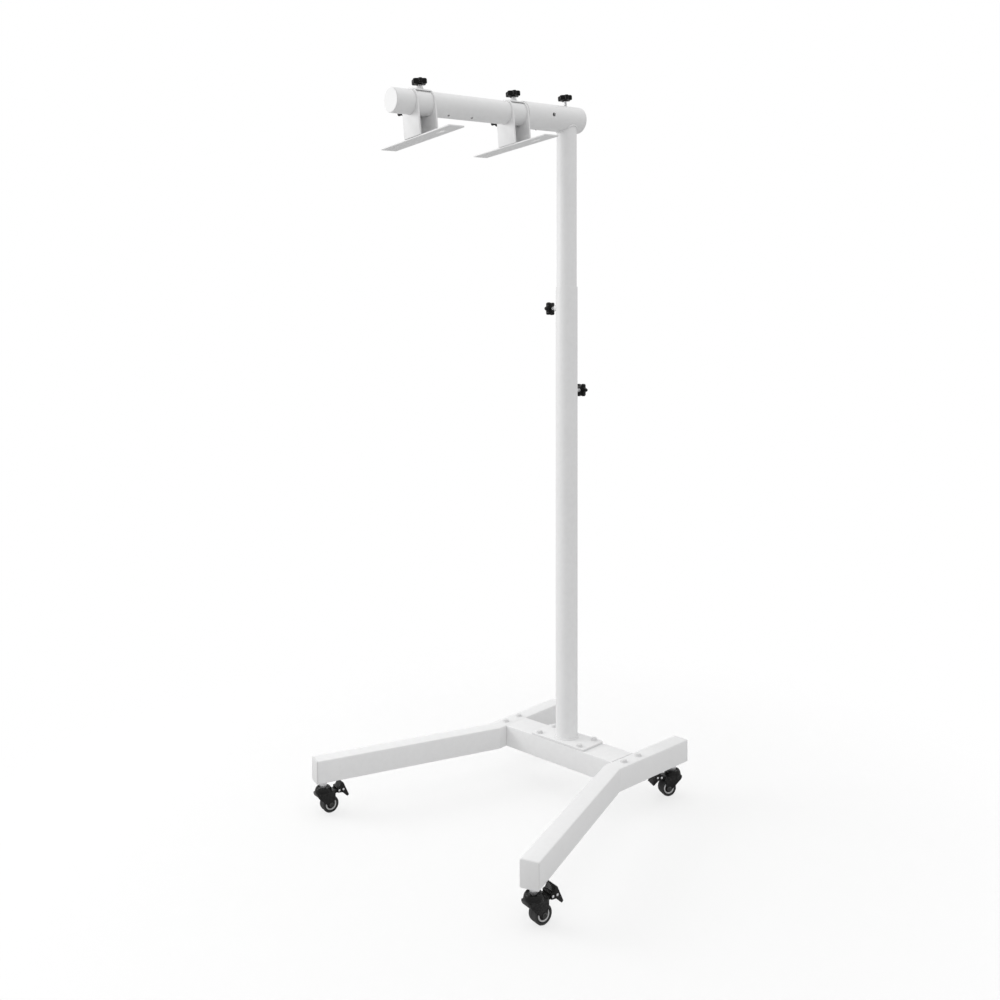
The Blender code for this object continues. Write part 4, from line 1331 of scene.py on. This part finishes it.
# ---- casters -----------------------------------------------------------------
@dataclass
class Caster:
    """A braked caster: stem and nut, race and fork, wheel, axle and pedal."""

    end: End
    side: Side
    height: float = 0.0775
    wheel_radius: float = 0.020
    wheel_width: float = 0.0235
    hub_width: float = 0.0247
    hub_radius: float = 0.0075
    axle_radius: float = 0.004
    axle_head: float = 0.0055
    trail: float = 0.0155
    fork_plate: float = 0.0021
    race_radius: float = 0.0205
    race_top: float = 0.0165
    crown_low: float = 0.043
    crown_high: float = 0.050
    race_high: float = 0.0625
    nut_radius: float = 0.0095
    pedal_width: float = 0.028
    pedal_wall: float = 0.0022

    @property
    def corner(self) -> str:
        """Return the caster's corner, such as front_left."""
        return f"{self.end.name.lower()}_{self.side.name.lower()}"

    def frame(self) -> Place:
        """Return the caster's axes: X along its axle, Y back along its trail."""
        point, _ = joint(f"caster_{self.corner}_swivel")
        _, axle = joint(f"wheel_{self.corner}_spin")
        return Place.facing(Vector((point.x, point.y, 0)), Vector((0, 0, 1)), axle)

    def stem(self, place: Place) -> None:
        """Make the hexagon nut and the washer under the leg, which stay with it."""
        low, high = self.race_high + GAP, self.height - GAP
        washer = turned("washer", [(0.0052, high - 0.0016), (0.0110, high - 0.0016),
                                   (0.0113, high - 0.0012), (0.0113, high - 0.0003),
                                   (0.0110, high), (0.0052, high)], SMALL_SIDES, closed=True)
        nut_high = high - 0.0017
        profile = [(0.0060, low + 0.003), (0.0082, low + 0.003), (self.nut_radius, low + 0.004),
                   (self.nut_radius, nut_high - 0.001), (0.0082, nut_high), (0.0060, nut_high)]
        nut = turned("nut", profile, 6, closed=True)
        neck = turned("neck", [(0.0049, self.crown_low + 0.004), (0.0049, low),
                               (0.0078, low), (0.0078, low + 0.0028), (0.0049, low + 0.0029),
                               (0.0049, self.height + 0.012)], SMALL_SIDES)
        stem = join(f"caster_{self.corner}_stem", [washer, nut, neck])
        add_piece(stem, place, "base", ZINC, [f"caster_stem_{self.corner}"],
                  smooth=30)

    def race(self, place: Place, body: str) -> None:
        """Make the pressed ball race: a domed cup with a rolled lip and a dust lid."""
        r, low, high = self.race_radius, self.crown_high - 0.0016, self.race_high
        profile = [(0.0055, low), (r * 0.86, low), (r * 0.95, low + 0.0007), (r, low + 0.0022),
                   (r, low + 0.0044), (r * 0.985, low + 0.0052), (r * 0.96, low + 0.0055),
                   (r * 0.952, low + 0.0060), (r * 0.965, low + 0.0065),
                   (r * 0.955, low + 0.0082), (r * 0.92, low + 0.0102),
                   (r * 0.87, low + 0.0120), (self.race_top, high - 0.0003),
                   (self.race_top - 0.0012, high), (self.race_top - 0.0024, high - 0.0006),
                   (self.race_top - 0.0034, high - 0.0026), (0.0090, high - 0.0030),
                   (0.0055, high - 0.0028)]
        add_piece(turned(f"caster_{self.corner}_race", profile, 64, closed=True), place, body,
                  BLACK_STEEL)

    def fork(self, place: Place, body: str) -> None:
        """Make the pressed fork with its two cheeks and the brake's tail."""
        inside = self.hub_width / 2 + GAP
        outside = inside + self.fork_plate
        eye = self.axle_head + 0.0018
        around = [(self.trail + eye * math.cos(a), self.wheel_radius + eye * math.sin(a))
                  for a in (math.radians(200 + 14 * i) for i in range(11))]
        back = self.trail + 0.0105
        outline = ([(-0.019, self.crown_high), (-0.019, self.crown_low + 0.002),
                    (-0.016, self.crown_low - 0.003)] + around
                   + [(back - 0.002, self.crown_low - 0.013), (back, self.crown_low - 0.006),
                      (back, self.crown_high)])
        fork = side_prism(f"caster_{self.corner}_fork", outline, outside)
        tail_half = self.pedal_width / 2 - self.pedal_wall - GAP
        tail_end = self.trail + 0.028
        tail = side_prism("tail", [(0.0, self.crown_low), (tail_end, self.crown_low + 0.002),
                                   (tail_end, self.crown_high + 0.002), (0.0, self.crown_high)],
                          tail_half)
        pocket = side_prism("pocket", [(-0.05, -0.01), (0.06, -0.01), (0.06, self.crown_low),
                                       (-0.05, self.crown_low)], inside)
        eye_hole = cylinder("eye", self.axle_radius + GAP,
                            Vector((-0.03, self.trail, self.wheel_radius)),
                            Vector((0.03, self.trail, self.wheel_radius)))
        combine(fork, "UNION", [tail])
        combine(fork, "DIFFERENCE", [pocket, eye_hole])
        soften(fork, 0.0007, 2, 35)
        add_piece(fork, place, body, BLACK_STEEL,
                  [f"caster_fork_{self.corner}"])

    def axle_place(self) -> Place:
        """Return the wheel's axes, with Z along its axle."""
        point, axis = joint(f"wheel_{self.corner}_spin")
        return Place.facing(point, axis, Vector((0, 0, 1)))

    def wheel(self) -> None:
        """Make the tread, the core with its spokes' dish, and the ring on each face."""
        place = self.axle_place()
        body = f"wheel_{self.corner}"
        r, half = self.wheel_radius, self.wheel_width / 2
        seat = r - 0.0048
        side = [(seat, half - 0.0012), (seat + 0.0004, half - 0.0002), (seat + 0.0012, half),
                (r - 0.0018, half), (r - 0.0007, half - 0.0005), (r - 0.00015, half - 0.0016),
                (r, half - 0.0034)]
        groove = [(r, 0.0016), (r - 0.0005, 0.0011), (r - 0.0005, 0.0)]
        outer = side + groove
        profile = [(a, -b) for a, b in outer] + [(a, b) for a, b in reversed(outer[:-1])]
        tread = turned(f"caster_{self.corner}_tread", profile, 96, closed=True)
        add_piece(tread, place, body, TREAD, [f"caster_wheel_{self.corner}"])
        hub, bore = self.hub_width / 2, self.axle_radius + GAP
        face = half - 0.0022
        core_side = [(bore, hub - 0.0002), (self.hub_radius - 0.0005, hub),
                     (self.hub_radius, hub - 0.0005), (self.hub_radius, face),
                     (seat - 0.0062, face), (seat - 0.0002, face), (seat - 0.0001, face - 0.002)]
        profile = [(a, -b) for a, b in core_side] + [(a, b) for a, b in reversed(core_side)]
        core = turned(f"caster_{self.corner}_core", profile, 64, closed=True)
        add_piece(core, place, body, BLACK_PLASTIC)
        rings = []
        for sign in (-1, 1):
            low, high = face + 0.0001, half + 0.0002
            inner, outer = self.hub_radius + 0.0024, seat - 0.0018
            profile = [(inner, low), (outer, low), (outer, high - 0.0008),
                       (outer - 0.0008, high), (inner + 0.0010, high),
                       (inner, high - 0.0008)]
            if sign < 0:
                profile = [(a, -b) for a, b in reversed(profile)]
            rings.append(turned(f"ring_{sign}", profile, 64, closed=True))
        add_piece(join(f"caster_{self.corner}_hub_rings", rings), place, body, GREY_RING)

    def axle(self, body: str) -> None:
        """Make the axle with a rounded rivet head at each end."""
        reach = self.hub_width / 2 + self.fork_plate + 2 * GAP
        head = self.axle_head
        side = [(0.0010, reach + 0.0015), (head * 0.5, reach + 0.0014),
                (head * 0.82, reach + 0.0010), (head * 0.98, reach + 0.0004), (head, reach),
                (self.axle_radius, reach)]
        profile = [(a, -b) for a, b in side] + [(a, b) for a, b in reversed(side)]
        add_piece(turned(f"caster_{self.corner}_axle", profile, SMALL_SIDES), self.axle_place(),
                  body, DARK_STEEL, [f"caster_axle_{self.corner}"])

    def pedal(self) -> None:
        """Make the bent pedal and its bright rivets."""
        point, axis = joint(f"pedal_{self.corner}_press")
        place = Place.facing(point, Vector((0, 0, 1)), axis)
        outer = [(-0.0045, -0.0055), (0.0080, -0.0065), (0.0215, -0.0185), (0.0255, -0.0150),
                 (0.0110, 0.0165), (0.0070, 0.0175), (0.0015, 0.0075), (-0.0045, 0.0060)]
        inner = [(-0.0080, -0.0100), (0.0070, -0.0110), (0.0195, -0.0225), (0.0223, -0.0145),
                 (0.0095, 0.0135), (0.0078, 0.0140), (0.0028, 0.0053), (-0.0080, 0.0040)]
        name = f"brake_{self.corner}_pedal"
        pedal = side_prism(name, outer, self.pedal_width / 2)
        combine(pedal, "DIFFERENCE",
                [side_prism("channel", inner, self.pedal_width / 2 - self.pedal_wall)])
        soften(pedal, 0.0008, 3, 25)
        body = f"pedal_{self.corner}"
        add_piece(pedal, place, body, BLACK_STEEL,
                  [f"brake_pedal_{self.corner}"])
        rivets = []
        for sign in (-1, 1):
            for y, z in ((0.0, 0.0), (0.0107, 0.0005)):
                face = self.pedal_width / 2
                head = turned("rivet", [(0.0026, -0.0004), (0.0026, 0.0001), (0.0020, 0.0006),
                                        (0.0009, 0.0009)], 20)
                where = Place.facing(Vector((sign * face, y, z)), Vector((sign, 0, 0)),
                                     Vector((0, 0, 1)))
                head.data.transform(where.matrix())
                rivets.append(head)
        add_piece(join(f"brake_{self.corner}_rivets", rivets), place, body, ZINC)

    def build(self) -> None:
        """Make the whole caster."""
        place = self.frame()
        body = f"caster_{self.corner}"
        self.stem(place)
        self.race(place, body)
        self.fork(place, body)
        self.wheel()
        self.axle(body)
        self.pedal()


# ---- studio ------------------------------------------------------------------
@dataclass
class Studio:
    """The pale floor, the soft lights and the camera."""

    floor_radius: float = 1.6
    floor_solid: float = 0.5
    floor_alpha: float = 0.18
    floor_tone: float = 0.88
    sky_light: float = 0.88
    low_light: float = 0.54
    camera_from_post: Vector = field(default_factory=lambda: Vector((1.5289, -1.8520, 1.0256)))
    camera_turn: float = math.radians(44.68)
    lens: float = 34.04
    shift: Pair = (0.0184, -0.1149)

    def floor(self) -> None:
        """Make the floor, a pale disc that fades away at its edge."""
        floor = turned("floor", [(self.floor_radius, -0.01), (self.floor_radius, 0.0)], 96)
        material = bpy.data.materials.new("floor_pale")
        material.use_nodes = True
        nodes = Nodes(material.node_tree)
        shader = material.node_tree.nodes["Principled BSDF"]
        where = nodes.add("ShaderNodeTexCoord").outputs["Object"]
        away = nodes.add("ShaderNodeVectorMath", {0: where}, operation="LENGTH").outputs["Value"]
        fade = nodes.add("ShaderNodeMapRange", {
            "Value": away, "From Min": self.floor_solid, "From Max": self.floor_radius * 0.95,
            "To Min": self.floor_alpha, "To Max": 0.0}, interpolation_type="SMOOTHSTEP")
        material.node_tree.links.new(fade.outputs[0], shader.inputs["Alpha"])
        shader.inputs["Base Color"].default_value = (self.floor_tone,) * 3 + (1,)
        shader.inputs["Roughness"].default_value = 0.6
        shader.inputs["Specular IOR Level"].default_value = 0.0
        floor.data.materials.append(material)

    def sky(self) -> None:
        """Light the stand softly from above and less from below, on plain white."""
        world = bpy.data.worlds.new("studio")
        bpy.context.scene.world = world
        world.use_nodes = True
        tree = world.node_tree
        tree.nodes.clear()
        nodes = Nodes(tree)
        way = nodes.add("ShaderNodeTexCoord").outputs["Generated"]
        height = nodes.add("ShaderNodeSeparateXYZ", {0: way}).outputs[2]
        light = nodes.add("ShaderNodeMapRange", {
            "Value": height, "From Min": -0.3, "From Max": 0.3, "To Min": self.low_light,
            "To Max": self.sky_light}, interpolation_type="SMOOTHSTEP").outputs[0]
        seen = nodes.add("ShaderNodeBackground", {"Color": (1, 1, 1, 1), "Strength": 1.0})
        fill = nodes.add("ShaderNodeBackground", {"Color": (1, 1, 1, 1), "Strength": light})
        path = nodes.add("ShaderNodeLightPath")
        both = nodes.add("ShaderNodeMixShader", {0: path.outputs["Is Camera Ray"],
                                                 1: fill.outputs[0], 2: seen.outputs[0]})
        nodes.add("ShaderNodeOutputWorld", {0: both.outputs[0]})

    def lamp(self, name: str, place: Vector, target: Vector, size: float, power: float) -> None:
        """Add one square soft light.

        Args:
            name: the light's name.
            place: where it is.
            target: what it points at.
            size: the length of its side.
            power: its power in watts.
        """
        data = bpy.data.lights.new(name, "AREA")
        data.size = size
        data.energy = power
        lamp = bpy.data.objects.new(name, data)
        lamp.location = place
        lamp.rotation_euler = (target - place).to_track_quat("-Z", "Y").to_euler()
        bpy.context.collection.objects.link(lamp)

    def camera(self) -> None:
        """Add the camera, level, with the stand seen from its front right."""
        post, _ = joint("post_swivel")
        data = bpy.data.cameras.new("camera")
        data.lens = self.lens
        data.sensor_width = 36.0
        data.shift_x, data.shift_y = self.shift
        camera = bpy.data.objects.new("camera", data)
        camera.location = Vector((post.x, post.y, 0)) + self.camera_from_post
        camera.rotation_euler = (math.pi / 2, 0, self.camera_turn)
        bpy.context.collection.objects.link(camera)
        bpy.context.scene.camera = camera

    def build(self) -> None:
        """Make the whole studio."""
        self.floor()
        self.sky()
        middle = Vector((0, 0, 0.9))
        self.lamp("softbox_left", Vector((-2.9, -2.0, 2.1)), Vector((0, 0, 1.1)), 1.6, 52)
        self.lamp("softbox_top", Vector((0.2, -0.2, 4.0)), middle, 2.6, 14)
        self.camera()
        settings = bpy.context.scene.view_settings
        settings.view_transform = "Standard"
        settings.look = "None"


def main() -> None:
    """Build every sub-assembly in order."""
    logging.basicConfig(level=logging.INFO, format="%(name)s: %(message)s")
    arm = arm_place()
    Studio().build()
    Base().build()
    Post().build(arm)
    Arm().build(arm)
    for end in End:
        Bracket(end).build(arm)
    for end in End:
        for side in Side:
            Caster(end, side).build()


if __name__ == "__main__":
    main()
